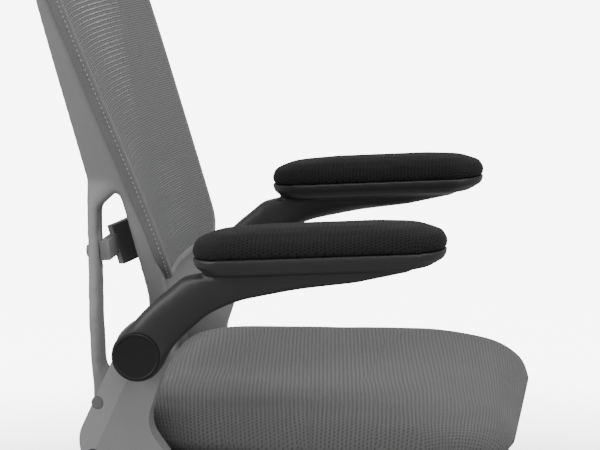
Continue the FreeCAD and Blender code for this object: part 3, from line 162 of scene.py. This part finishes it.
# Widths of broken edges
BRACKET_EDGE = 0.0016
CAP_EDGE = 0.0004
LUMBAR_EDGE = 0.0012
CASTER_EDGE = 0.0008
EDGE_WIDTHS = {
    "star_base": 0.002,
    "seat_pan": 0.002,
    "tilt_chassis": 0.0012,
    "seat_plate": 0.001,
    "tension_knob": 0.001,
    "lever_paddle": 0.001,
    "lock_collar": 0.001,
    "cover_lower": 0.0006,
    "cover_middle": 0.0006,
    "cover_upper": 0.0006,
}

# Stage: half the floor's side, the ring over which its glow sets in, and the lights' places, sizes and watts
FLOOR_HALF = 40
GLOW_NEAR = 0.7
GLOW_FAR = 2.2
GLOW_STRENGTH = 7
SKY_STRENGTH = 0.6
LIGHT_AIM = Vector((0, 0, 0.6))
LIGHTS = {
    "top_light": ((-0.6, -0.4, 2.8), 2.2, 46),
    "front_light": ((-2.6, -2.4, 1.9), 1.6, 40),
    "back_light": ((-1.4, 2.6, 1.8), 1.6, 55),
}

# Camera: degrees ahead of the right side and above the level, its place and its lens in millimetres
CAMERA_AHEAD = 8
CAMERA_ABOVE = 9
CAMERA_PLACE = (-2.8430, -0.3564, 1.0604)
CAMERA_LENS = 147.87
SENSOR_WIDTH = 36.0


class Value:
    """A shader value that can stand in a Python expression."""

    def __init__(self, finish, socket):
        self.finish = finish
        self.socket = socket

    def __add__(self, other):
        return self.finish.maths("ADD", self, other)

    def __sub__(self, other):
        return self.finish.maths("SUBTRACT", self, other)

    def __rsub__(self, other):
        return self.finish.maths("SUBTRACT", other, self)

    def __mul__(self, other):
        return self.finish.maths("MULTIPLY", self, other)

    __radd__ = __add__
    __rmul__ = __mul__


class Finish:
    """One procedural material: a Principled shader and the nodes that feed it."""

    def __init__(self, name, **sockets):
        self.material = bpy.data.materials.new(name)
        self.material.use_nodes = True
        self.nodes = self.material.node_tree.nodes
        self.links = self.material.node_tree.links
        self.shader = next(node for node in self.nodes if node.type == "BSDF_PRINCIPLED")
        self.shade(**sockets)

    def shade(self, **sockets):
        """Fills sockets of the shader, whose names are written with _ for a space."""
        for socket, value in sockets.items():
            self.feed(self.shader, socket.replace("_", " "), value)

    def feed(self, node, socket, value):
        """Links a shader value to a socket, or sets the socket to a plain one."""
        if isinstance(value, Value):
            self.links.new(value.socket, node.inputs[socket])
        else:
            node.inputs[socket].default_value = value

    def node(self, kind, settings, inputs, output):
        """Adds a node, sets its options, fills its sockets and gives one of its outputs."""
        made = self.nodes.new(kind)
        for option, value in settings.items():
            setattr(made, option, value)
        for socket, value in inputs.items():
            self.feed(made, socket, value)
        return Value(self, made.outputs[output])

    def maths(self, operation, first, second=0.0):
        return self.node("ShaderNodeMath", {"operation": operation}, {0: first, 1: second}, 0)

    def sine(self, value):
        return self.maths("SINE", value)

    def place(self):
        """Where a point lies in the chair's own frame."""
        return self.node("ShaderNodeTexCoord", {}, {}, "Object")

    def axes(self, vector):
        """The X, Y and Z parts of a vector."""
        split = self.node("ShaderNodeSeparateXYZ", {}, {0: vector}, "X").socket.node
        return [Value(self, split.outputs[name]) for name in "XYZ"]

    def pattern_axes(self):
        """The piece's own pattern coordinates, in metres along the cloth."""
        return self.axes(self.node("ShaderNodeUVMap", {"uv_map": "cloth"}, {}, "UV"))

    def noise(self, vector, scale, detail):
        inputs = {"Vector": vector, "Scale": scale, "Detail": detail}
        return self.node("ShaderNodeTexNoise", {}, inputs, "Fac")

    def step(self, value, low, high):
        """0 below low, 1 above high, smooth between."""
        inputs = {"Value": value, "From Min": low, "From Max": high}
        return self.node("ShaderNodeMapRange", {"interpolation_type": "SMOOTHSTEP"}, inputs, "Result")

    def blend(self, factor, first, second):
        """A colour between two, by a factor from 0 to 1."""
        inputs = {"Factor": factor, 6: opaque(first), 7: opaque(second)}
        return self.node("ShaderNodeMix", {"data_type": "RGBA"}, inputs, 2)

    def tones(self, factor, colour, dark, light):
        """A colour between two shares of itself, by a factor from 0 to 1."""
        return self.blend(factor, tinted(colour, dark), tinted(colour, light))

    def bump(self, height, distance):
        inputs = {"Distance": distance, "Height": height}
        self.shade(Normal=self.node("ShaderNodeBump", {}, inputs, "Normal"))


def opaque(colour):
    """A plain colour with full alpha; a shader value as it is."""
    return colour if isinstance(colour, Value) else (*colour, 1)


def tinted(colour, share):
    """A colour made darker or lighter by a share."""
    return tuple(part * share for part in colour)


def grey(level, cool=0.0):
    """A grey, a little bluer than neutral where cool is above 0."""
    return (level, level, level + cool)


# Finishes
def moulded_plastic(name, colour, roughness, shine=0.5, grain=0.00006):
    """Satin moulding with fine sparked grain, faint cloudiness and uneven gloss."""
    finish = Finish(name, Specular_IOR_Level=shine)
    place = finish.place()
    cloud = finish.noise(place, scale=14, detail=3)
    fleck = finish.noise(place, scale=1500, detail=1)
    finish.shade(
        Base_Color=finish.tones(cloud, colour, dark=0.9, light=1.1),
        Roughness=roughness - 0.05 + 0.1 * cloud + 0.06 * fleck,
    )
    finish.bump(fleck, grain)
    return finish.material


def powder_coat(name, colour):
    """Powder-coated steel: soft orange peel and a low sheen."""
    finish = Finish(name)
    place = finish.place()
    peel = finish.noise(place, scale=700, detail=2)
    cloud = finish.noise(place, scale=30, detail=2)
    finish.shade(
        Base_Color=finish.tones(cloud, colour, dark=0.85, light=1.15),
        Roughness=0.38 + 0.16 * cloud,
    )
    finish.bump(peel, distance=0.0001)
    return finish.material


def turned_steel(name, colour, roughness):
    """Bright steel with fine turning marks round its length and dull smears."""
    finish = Finish(name, Metallic=1.0)
    place = finish.place()
    x, y, z = finish.axes(place)
    round_scale, length_scale = 60, 4000
    inputs = {"X": x * round_scale, "Y": y * round_scale, "Z": z * length_scale}
    lines = finish.noise(finish.node("ShaderNodeCombineXYZ", {}, inputs, 0), scale=1, detail=2)
    smear = finish.noise(place, scale=45, detail=3)
    finish.shade(
        Base_Color=finish.tones(smear, colour, dark=0.82, light=1),
        Roughness=roughness + 0.14 * smear + 0.08 * lines,
    )
    finish.bump(lines, distance=0.00002)
    return finish.material


def spacer_cloth(name, colour, hole_shade, pitch, rib_share, sheen):
    """Spacer cloth: fine ribs that run across, broken into staggered rows of small holes with painted shade in
    them.
    """
    finish = Finish(name, Roughness=0.8, Sheen_Weight=sheen, Sheen_Roughness=0.4, Specular_IOR_Level=0.2)
    across, along, _ = finish.pattern_axes()
    place = finish.place()
    turn = 2 * math.pi / pitch
    spread = 1.1
    rib = finish.sine(along * turn)
    stagger = finish.sine(across * (turn * spread) + along * (turn / 2))
    holes = finish.step(rib * rib_share + stagger * (1 - rib_share), low=0.1, high=0.7)
    yarn = finish.noise(place, scale=1800, detail=2)
    worn = finish.noise(place, scale=9, detail=3)
    ground = finish.tones(worn * 0.7 + yarn * 0.3, colour, dark=0.85, light=1.15)
    # The holes are mixed towards the darker grey: painted shade inside them
    finish.shade(Base_Color=finish.blend(holes * 0.75, ground, hole_shade))
    finish.bump(yarn * 0.25 - holes, distance=0.0006)
    return finish.material


def back_net(name, colour):
    """Stretched net: fine raised ribs, and between them an open knit that light passes through."""
    finish = Finish(name, Roughness=0.7, Specular_IOR_Level=0.25)
    across, up, _ = finish.pattern_axes()
    place = finish.place()
    waver = finish.noise(place, scale=6, detail=2) * 0.0012
    height = up + waver
    rib = finish.sine(height * (2 * math.pi / RIB_PITCH))
    band = finish.sine(height * (math.pi / RIB_PITCH))
    knot = finish.noise(place, scale=900, detail=2)
    loops = finish.step(finish.sine(across * (2 * math.pi / LOOP_PITCH) + rib), low=-0.6, high=0.6)
    taut = finish.step(up - NET_OPEN_FROM - finish.maths("ABSOLUTE", across), low=0, high=NET_OPEN_OVER)
    between_ribs = finish.step(band, low=0.2, high=0.9)
    least, in_loops, when_taut = 0.0005, 0.005, 13
    openness = between_ribs * (least + in_loops * loops) * (1 + when_taut * taut)
    # Rib crests are painted lighter and the grooves between them darker: painted highlight and shade on the ribs;
    # the knots add random tone
    tone = finish.step(rib, low=-0.8, high=0.9) * 0.55 + knot * 0.45
    finish.shade(Base_Color=finish.tones(tone, colour, dark=0.8, light=1.15), Alpha=1 - openness)
    finish.bump(rib * 0.5 + knot * 0.3, distance=0.0004)
    return finish.material


def woven_band(name, colour):
    """Close-woven edge tape."""
    finish = Finish(name, Roughness=0.8, Sheen_Weight=0.2)
    place = finish.place()
    x, y, z = finish.axes(place)
    weave = finish.sine(z * HEM_WEAVE) * finish.sine((x + y) * HEM_WEAVE)
    cloud = finish.noise(place, scale=40, detail=3)
    finish.shade(Base_Color=finish.tones(cloud, colour, dark=0.85, light=1.1))
    finish.bump(weave * 0.5 + cloud * 0.2, distance=0.0002)
    return finish.material


def thread(name, colour):
    """Twisted sewing thread."""
    finish = Finish(name, Roughness=0.6, Sheen_Weight=0.3)
    twist = finish.noise(finish.place(), scale=1400, detail=2)
    finish.shade(Base_Color=finish.tones(twist, colour, dark=0.8, light=1.15))
    finish.bump(twist, distance=0.0001)
    return finish.material


FINISHES = {
    "grey_moulding": moulded_plastic("grey_moulding", grey(0.2, 0.002), roughness=0.5, shine=0.35),
    "back_net": back_net("back_net", grey(0.135, 0.0015)),
    # The second grey of each spacer cloth is painted shade for its holes
    "seat_fabric": spacer_cloth(
        "seat_fabric", grey(0.12, 0.001), grey(0.07, 0.001), SEAT_PITCH, rib_share=0.62, sheen=0.1
    ),
    "arm_pad_knit": spacer_cloth(
        "arm_pad_knit", grey(0.011), grey(0.002), PAD_PITCH, rib_share=0.5, sheen=0.03
    ),
    "arm_moulding": moulded_plastic("arm_moulding", grey(0.0175, 0.0002), roughness=0.42, shine=0.4),
    "black_nylon": moulded_plastic(
        "black_nylon", grey(0.014, 0.0005), roughness=0.5, shine=0.35, grain=0.0001
    ),
    "wheel_tread": moulded_plastic("wheel_tread", grey(0.016), roughness=0.34, shine=0.4, grain=0.00002),
    "black_steel": powder_coat("black_steel", grey(0.016, 0.0005)),
    "bright_steel": turned_steel("bright_steel", grey(0.62), roughness=0.22),
    "black_fastener": turned_steel("black_fastener", grey(0.06), roughness=0.4),
    "grey_fastener": powder_coat("grey_fastener", grey(0.12, 0.001)),
    "pale_nylon": moulded_plastic("pale_nylon", grey(0.6, -0.03), roughness=0.45),
}
HEM_CLOTH = woven_band("hem_cloth", grey(0.13, 0.0015))
HEM_THREAD = thread("hem_thread", grey(0.36))
CAP_PLASTIC = moulded_plastic("cap_plastic", grey(0.008, 0.0001), roughness=0.5, shine=0.25)


# Meshes and pieces
def clamp(value, low=0.0, high=1.0):
    """A value held between two limits."""
    return min(max(value, low), high)


def placed(name, data):
    """A new object in the scene."""
    made = bpy.data.objects.new(name, data)
    bpy.context.scene.collection.objects.link(made)
    return made


def coat(mesh, material):
    """Gives a mesh one material all over."""
    mesh.materials.clear()
    mesh.materials.append(material)


def finished(name, mesh, body, slot, material=None):
    """Puts a mesh into the scene as a piece that rides on a body."""
    piece = placed(name, mesh)
    coat(mesh, material or FINISHES[slot])
    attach(piece, body)
    return piece


def node_copy(node):
    """The node's shape as one closed bmesh, with its loose triangles joined."""
    shape = bmesh.new()
    shape.from_mesh(frame["nodes"][node].data)
    bmesh.ops.remove_doubles(shape, verts=shape.verts, dist=WELD)
    return shape


def mesh_from(shape, name):
    """A bmesh made into a mesh; the bmesh is freed."""
    mesh = bpy.data.meshes.new(name)
    shape.to_mesh(mesh)
    shape.free()
    return mesh


def smooth_by_angle(mesh, degrees):
    """Shades a mesh smooth, apart from edges that turn by more than an angle."""
    mesh.shade_smooth()
    mesh.set_sharp_from_angle(angle=math.radians(degrees))


def apply_modifiers(piece):
    """Turns what the modifiers give into the piece's own mesh."""
    graph = bpy.context.evaluated_depsgraph_get()
    made = bpy.data.meshes.new_from_object(piece.evaluated_get(graph), depsgraph=graph)
    piece.modifiers.clear()
    old = piece.data
    piece.data = made
    bpy.data.meshes.remove(old)


def relax(piece, rounds):
    """Adds a smoothing that draws every point towards its neighbours."""
    smooth = piece.modifiers.new("relax", "SMOOTH")
    smooth.factor = 0.5
    smooth.iterations = rounds


def subdivide(piece):
    """Adds one level of subdivision."""
    curve = piece.modifiers.new("round", "SUBSURF")
    curve.levels = 1
    curve.render_levels = 1


def even_out(piece, voxel, rounds):
    """Meshes a piece anew with even faces and relaxes it."""
    remesh = piece.modifiers.new("even", "REMESH")
    remesh.mode = "VOXEL"
    remesh.voxel_size = voxel
    relax(piece, rounds)
    apply_modifiers(piece)


def bevelled(node, width, degrees=EDGE_ANGLE, material=None):
    """A rigid node with its sharp edges broken."""
    shape = node_copy(node)
    flat = math.radians(FLAT_ANGLE)
    bmesh.ops.dissolve_limit(shape, angle_limit=flat, verts=shape.verts, edges=shape.edges)
    mesh = mesh_from(shape, f"{node}_finish")
    smooth_by_angle(mesh, degrees)
    piece = finished(f"{node}_finish", mesh, body_of[node], slot_of[node], material)
    bevel = piece.modifiers.new("edges", "BEVEL")
    bevel.width = width
    bevel.segments = 2
    bevel.limit_method = "ANGLE"
    bevel.angle_limit = math.radians(degrees)
    bevel.harden_normals = True
    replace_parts(piece, node)


def softened(node, voxel, rounds):
    """A moulded node with flowing faces and soft edges."""
    mesh = mesh_from(node_copy(node), f"{node}_finish")
    piece = finished(f"{node}_finish", mesh, body_of[node], slot_of[node])
    even_out(piece, voxel, rounds)
    coat(piece.data, FINISHES[slot_of[node]])
    piece.data.shade_smooth()
    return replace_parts(piece, node)


def flow_neck(piece):
    """Lets the arm's neck flow between its round end and the tray, which both keep their shape."""
    neck = piece.vertex_groups.new(name="neck")
    for vert in piece.data.vertices:
        reach = math.hypot(vert.co.y - PIVOT_Y, vert.co.z - PIVOT_Z)
        weight = clamp((reach - HUB_KEEP) / NECK_FADE) * clamp((NECK_TOP - vert.co.z) / NECK_FADE)
        neck.add([vert.index], weight, "REPLACE")
    flow = piece.modifiers.new("flow", "LAPLACIANSMOOTH")
    flow.iterations = FLOW_ROUNDS
    flow.lambda_factor = FLOW_STRENGTH
    flow.use_volume_preserve = False
    flow.vertex_group = "neck"
    # The smoothing leaves faces under 10 mm2 alone, so it works at a larger scale
    piece.data.transform(Matrix.Scale(FLOW_SCALE, 4))
    apply_modifiers(piece)
    piece.data.transform(Matrix.Scale(1 / FLOW_SCALE, 4))


def clear_slots(piece):
    """Cuts the lumbar slots into the straps again, crisp and with room for the pegs' full travel."""
    for side in (1, -1):
        shape = bmesh.new()
        place = Matrix.Translation((side * SLOT_X, SLOT_Y, SLOT_Z)) @ Matrix.Diagonal((*SLOT_HALF, 1))
        bmesh.ops.create_cube(shape, size=2, matrix=place)
        cutter = placed("cutter", mesh_from(shape, "cutter"))
        cut = piece.modifiers.new("slot", "BOOLEAN")
        cut.operation = "DIFFERENCE"
        cut.object = cutter
        apply_modifiers(piece)
        bpy.data.objects.remove(cutter)
    smooth_by_angle(piece.data, CUT_ANGLE)


def make_spring():
    """The tension spring cut into an upper and a lower half, each with its cut closed."""
    low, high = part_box("tension_spring")
    middle = (low + high) / 2
    for half, joint, give in (("upper", "tilt", SPRING_TILT_GIVE), ("lower", "cup_rise", SPRING_CUP_GIVE)):
        shape = node_copy("tension_spring")
        cut = bmesh.ops.bisect_plane(
            shape, geom=[*shape.verts, *shape.edges, *shape.faces], plane_co=middle, plane_no=(0, 0, 1),
            clear_inner=half == "upper", clear_outer=half == "lower",
        )
        rim = [part for part in cut["geom_cut"] if isinstance(part, bmesh.types.BMEdge)]
        bmesh.ops.holes_fill(shape, edges=rim)
        name = f"tension_spring_{half}"
        mesh = mesh_from(shape, name)
        smooth_by_angle(mesh, CUT_ANGLE)
        piece = finished(name, mesh, body_of["tension_spring"], slot_of["tension_spring"])
        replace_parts(piece, "tension_spring")
        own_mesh(piece)


# Backrest surface
def lean(z):
    """Forward reach of the backrest's edge from the arm pivot, with a soft knee at the lumbar crest."""
    slope = BACK_LEAN if z > LUMBAR_Z else TAIL_LEAN
    return LUMBAR_FORE - slope * (math.hypot(z - LUMBAR_Z, LUMBAR_KNEE) - LUMBAR_KNEE)


def side_width(z):
    """Half the backrest's width at a height, flaring from the waist to the shoulders."""
    share = clamp((z - MESH_LOW) / (SHOULDER_Z - MESH_LOW))
    flare = (1 - FLARE_EASE) * share + FLARE_EASE * share * share * (3 - 2 * share)
    return WAIST_HALF + (SHOULDER_HALF - WAIST_HALF) * flare


def front_point(x, z):
    """A point of the backrest's front, which is hollow between its sides."""
    share = (z - RAIL_LOW) / (MESH_TOP - RAIL_LOW)
    wrap = WRAP_LOW + (WRAP_TOP - WRAP_LOW) * share
    hollow = wrap * (1 - min(abs(x) / side_width(z), 1) ** 2)
    return Vector((x, PIVOT_Y - lean(z) + hollow, z))


def front_normal(x, z):
    """Unit direction out of the backrest's front, towards the sitter."""
    tiny = 1e-4
    across = front_point(x + tiny, z) - front_point(x - tiny, z)
    up = front_point(x, z + tiny) - front_point(x, z - tiny)
    return across.cross(up).normalized()


def quarter_circle(x, z, radius, start, steps):
    """Points (x, z) of a quarter circle about a centre, from an angle in degrees."""
    turns = [math.radians(start + 90 * i / steps) for i in range(steps + 1)]
    return [(x + radius * math.cos(turn), z + radius * math.sin(turn)) for turn in turns]


def net_outline(inset):
    """Points (x, z) round the net's edge, drawn in by a distance."""
    low_z = MESH_LOW + LOW_ROUND
    low_x = side_width(low_z) - LOW_ROUND
    top_z = MESH_TOP - TOP_ROUND
    top_x = side_width(top_z) - TOP_ROUND
    half = [(low_x * i / LOW_STEPS, MESH_LOW + inset) for i in range(LOW_STEPS)]
    half += quarter_circle(low_x, low_z, LOW_ROUND - inset, -90, LOW_TURN_STEPS)
    for i in range(1, SIDE_STEPS):
        z = low_z + (top_z - low_z) * i / SIDE_STEPS
        half.append((side_width(z) - inset, z))
    half += quarter_circle(top_x, top_z, TOP_ROUND - inset, 0, TOP_TURN_STEPS)
    half += [(top_x * (1 - i / TOP_STEPS), MESH_TOP - inset) for i in range(1, TOP_STEPS + 1)]
    return half + [(-x, z) for x, z in half[-2:0:-1]]


def cloth_map(mesh, coordinates):
    """Stores pattern coordinates, one pair per vertex, as the UV map that the cloth finishes read."""
    layer = mesh.uv_layers.new(name="cloth")
    for loop in mesh.loops:
        layer.data[loop.index].uv = coordinates[loop.vertex_index]


def make_net():
    """The stretched net: a grid laid on the backrest's front and drawn in at its rounded corners."""
    shape = bmesh.new()
    bmesh.ops.create_grid(shape, x_segments=NET_COLUMNS, y_segments=NET_ROWS, size=1)
    low, high = MESH_LOW + NET_INSET, MESH_TOP - NET_INSET
    pairs = []
    for vert in shape.verts:
        u, v = vert.co.x, vert.co.y
        # Rows lie closer together towards both ends
        share = (2 + v + math.sin(v * math.pi / 2)) / 4
        z = low + (high - low) * share
        half = side_width(z) - NET_INSET
        for end, radius in ((z - low, LOW_ROUND), (high - z, TOP_ROUND)):
            if end < radius:
                half -= radius - math.sqrt(max(radius ** 2 - (radius - end) ** 2, 0))
        vert.co = front_point(u * half, z)
        pairs.append((u * half, z * math.hypot(1, NET_LEAN)))
    bmesh.ops.recalc_face_normals(shape, faces=shape.faces)
    area = sum(face.calc_area() for face in shape.faces)
    mesh = mesh_from(shape, "net")
    cloth_map(mesh, pairs)
    mesh.shade_smooth()
    piece = finished("net", mesh, "seat", "back_net")
    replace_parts(piece, "back_mesh")
    return piece, area


def hem_line(inset, depth):
    """Points round the hem: inset from the net's edge, and depth behind the backrest's front."""
    spots = zip(net_outline(inset), net_outline(HEM_SQUARE))
    return [front_point(*spot) - front_normal(*inner) * depth for spot, inner in spots]


def edge_loop(shape, points):
    """A closed loop of edges through points."""
    corners = [shape.verts.new(point) for point in points]
    return [shape.edges.new(pair) for pair in zip(corners, corners[1:] + corners[:1])]


def make_hem():
    """Edge tape that starts on the net, turns over the rim's edge and runs back along its side."""
    shape = bmesh.new()
    loops = [edge_loop(shape, hem_line(inset, depth)) for inset, depth in HEM_ROWS]
    for first, second in zip(loops, loops[1:]):
        bmesh.ops.bridge_loops(shape, edges=first + second)
    bmesh.ops.recalc_face_normals(shape, faces=shape.faces)
    mesh = mesh_from(shape, "hem")
    mesh.shade_smooth()
    piece = finished("hem", mesh, "seat", "back_net", HEM_CLOTH)
    subdivide(piece)
    return piece


def make_stitches():
    """A row of short stitches along the hem's side."""
    shape = bmesh.new()
    inner = net_outline(HEM_SQUARE)
    middle = Vector((0, 0, (MESH_LOW + MESH_TOP) / 2))
    spots = hem_line(-HEM_OUT - STITCH_LIFT, STITCH_DEPTH)
    size = Matrix.Diagonal((STITCH_LENGTH, STITCH_THICK, STITCH_THICK, 1))
    travelled = 0.0
    due = 0.0
    for i, here in enumerate(spots):
        onward = spots[(i + 1) % len(spots)]
        run = (onward - here).length
        along = (onward - here).normalized()
        behind = -front_normal(*inner[i])
        out = behind.cross(along).normalized()
        if out.dot(here - middle) < 0:
            out = -out
        turn = Matrix((along, along.cross(out), out)).transposed().to_4x4()
        while due < travelled + run:
            spot = Matrix.Translation(here.lerp(onward, (due - travelled) / run))
            bmesh.ops.create_icosphere(shape, subdivisions=1, radius=0.5, matrix=spot @ turn @ size)
            due += STITCH_PITCH
        travelled += run
    mesh = mesh_from(shape, "hem_stitches")
    mesh.shade_smooth()
    return finished("hem_stitches", mesh, "seat", "back_net", HEM_THREAD)


# Soft pieces
def draped_map(mesh, low, high, slant):
    """Pattern coordinates that run over the top of a pad, on a slant, and on down its sides."""
    tiny = 1e-6
    pairs = []
    middle = (low + high) / 2
    for vert in mesh.vertices:
        drop = high.z - vert.co.z
        lean_x, lean_y = abs(vert.normal.x), abs(vert.normal.y)
        total = max(lean_x + lean_y, tiny)
        side_x = math.copysign(drop * lean_x / total, vert.co.x - middle.x)
        side_y = math.copysign(drop * lean_y / total, vert.co.y - middle.y)
        pairs.append((vert.co.x + side_x, vert.co.y + side_y - slant * vert.co.x))
    cloth_map(mesh, pairs)


def swell(piece, pressure, cap):
    """Lets the cover swell like filled cloth: each point moves straight out, no further than the cap."""
    rest = [(vert.co.copy(), vert.normal.copy()) for vert in piece.data.vertices]
    cloth = piece.modifiers.new("cover", "CLOTH")
    cloth.settings.use_pressure = True
    cloth.settings.uniform_pressure_force = pressure
    cloth.settings.effector_weights.gravity = 0
    cloth.settings.tension_stiffness = COVER_STIFFNESS
    cloth.settings.compression_stiffness = COVER_STIFFNESS
    cloth.settings.quality = 5
    cloth.point_cache.frame_start = 1
    cloth.point_cache.frame_end = COVER_STEPS
    for step in range(1, COVER_STEPS + 1):
        bpy.context.scene.frame_set(step)
    graph = bpy.context.evaluated_depsgraph_get()
    moved = [vert.co.copy() for vert in piece.evaluated_get(graph).data.vertices]
    piece.modifiers.clear()
    for vert, (start, out), end in zip(piece.data.vertices, rest, moved):
        vert.co = start + out * clamp((end - start).dot(out), 0, cap)
    bpy.context.scene.frame_set(1)


def padded_piece(node, voxel, rounds, pressure, cap, slant=0.0):
    """A cushion from its plain solid: evenly meshed, relaxed, swollen by pressure and smoothed."""
    low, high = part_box(node)
    mesh = mesh_from(node_copy(node), f"{node}_cover")
    piece = finished(f"{node}_cover", mesh, body_of[node], slot_of[node])
    even_out(piece, voxel, rounds)
    swell(piece, pressure, cap)
    relax(piece, rounds)
    subdivide(piece)
    apply_modifiers(piece)
    for vert in piece.data.vertices:
        for axis in range(3):
            vert.co[axis] = clamp(vert.co[axis], low[axis] - COVER_SINK, high[axis] + COVER_RISE)
    coat(piece.data, FINISHES[slot_of[node]])
    piece.data.shade_smooth()
    draped_map(piece.data, low, high, slant)
    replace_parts(piece, node)


# Stage
def make_floor():
    """A wide pale floor that glows white away from the chair."""
    shape = bmesh.new()
    bmesh.ops.create_grid(shape, x_segments=1, y_segments=1, size=FLOOR_HALF)
    floor = placed("floor", mesh_from(shape, "floor"))
    paint = Finish("floor_paint", Roughness=0.9, Emission_Strength=GLOW_STRENGTH)
    place = paint.place()
    x, y, _ = paint.axes(place)
    tone = paint.noise(place, scale=0.6, detail=2)
    away = paint.maths("POWER", x * x + y * y, 0.5)
    paint.shade(
        Base_Color=paint.blend(tone, grey(0.9), grey(0.93)),
        Emission_Color=paint.blend(paint.step(away, GLOW_NEAR, GLOW_FAR), grey(0), grey(1)),
    )
    coat(floor.data, paint.material)
    floor.visible_diffuse = False
    floor.visible_glossy = False


def make_sky():
    """An even white sky."""
    world = bpy.data.worlds.new("studio")
    world.use_nodes = True
    sky = world.node_tree.nodes["Background"]
    sky.inputs["Color"].default_value = (1, 1, 1, 1)
    sky.inputs["Strength"].default_value = SKY_STRENGTH
    bpy.context.scene.world = world


def aimed(name, data, place, direction):
    """Puts a light or a camera in its place, looking in a direction."""
    made = placed(name, data)
    made.location = place
    made.rotation_mode = "QUATERNION"
    made.rotation_quaternion = direction.to_track_quat("-Z", "Y")
    return made


def make_lights():
    """Soft light from above, in front and behind."""
    for name, (place, size, watts) in LIGHTS.items():
        light = bpy.data.lights.new(name, "AREA")
        light.size = size
        light.energy = watts
        aimed(name, light, place, LIGHT_AIM - Vector(place))


def make_camera():
    """A long lens at the chair's right side, a little ahead of it and above."""
    ahead, above = math.radians(CAMERA_AHEAD), math.radians(CAMERA_ABOVE)
    level = math.cos(above)
    direction = Vector((level * math.cos(ahead), level * math.sin(ahead), -math.sin(above)))
    lens = bpy.data.cameras.new("camera")
    lens.lens = CAMERA_LENS
    lens.sensor_width = SENSOR_WIDTH
    bpy.context.scene.camera = aimed("camera", lens, CAMERA_PLACE, direction)


# The chair
clear_slots(softened("back_frame", voxel=0.003, rounds=14))
make_spring()
for side in SIDES:
    flow_neck(softened(f"arm_shell_{side}", voxel=0.0018, rounds=16))
    bevelled(f"bracket_{side}", BRACKET_EDGE, BRACKET_ANGLE)
    bevelled(f"hub_cap_{side}", CAP_EDGE, material=CAP_PLASTIC)
    padded_piece(f"arm_pad_{side}", voxel=0.003, rounds=2, pressure=4, cap=0.0015)
padded_piece("seat_cushion", voxel=0.006, rounds=10, pressure=3, cap=0.003, slant=SEAT_SLANT)
bevelled("lumbar_support", LUMBAR_EDGE)
net, net_area = make_net()
hem = make_hem()
stitches = make_stitches()
for node, width in EDGE_WIDTHS.items():
    bevelled(node, width)
for number in range(1, CASTERS + 1):
    bevelled(f"caster_hood_{number}", CASTER_EDGE)
    for side in SIDES:
        bevelled(f"caster_wheel_{number}_{side}", CASTER_EDGE)
for node, shown in frame["nodes"].items():
    coat(shown.data, FINISHES[slot_of[node]])

make_floor()
make_sky()
make_lights()
make_camera()
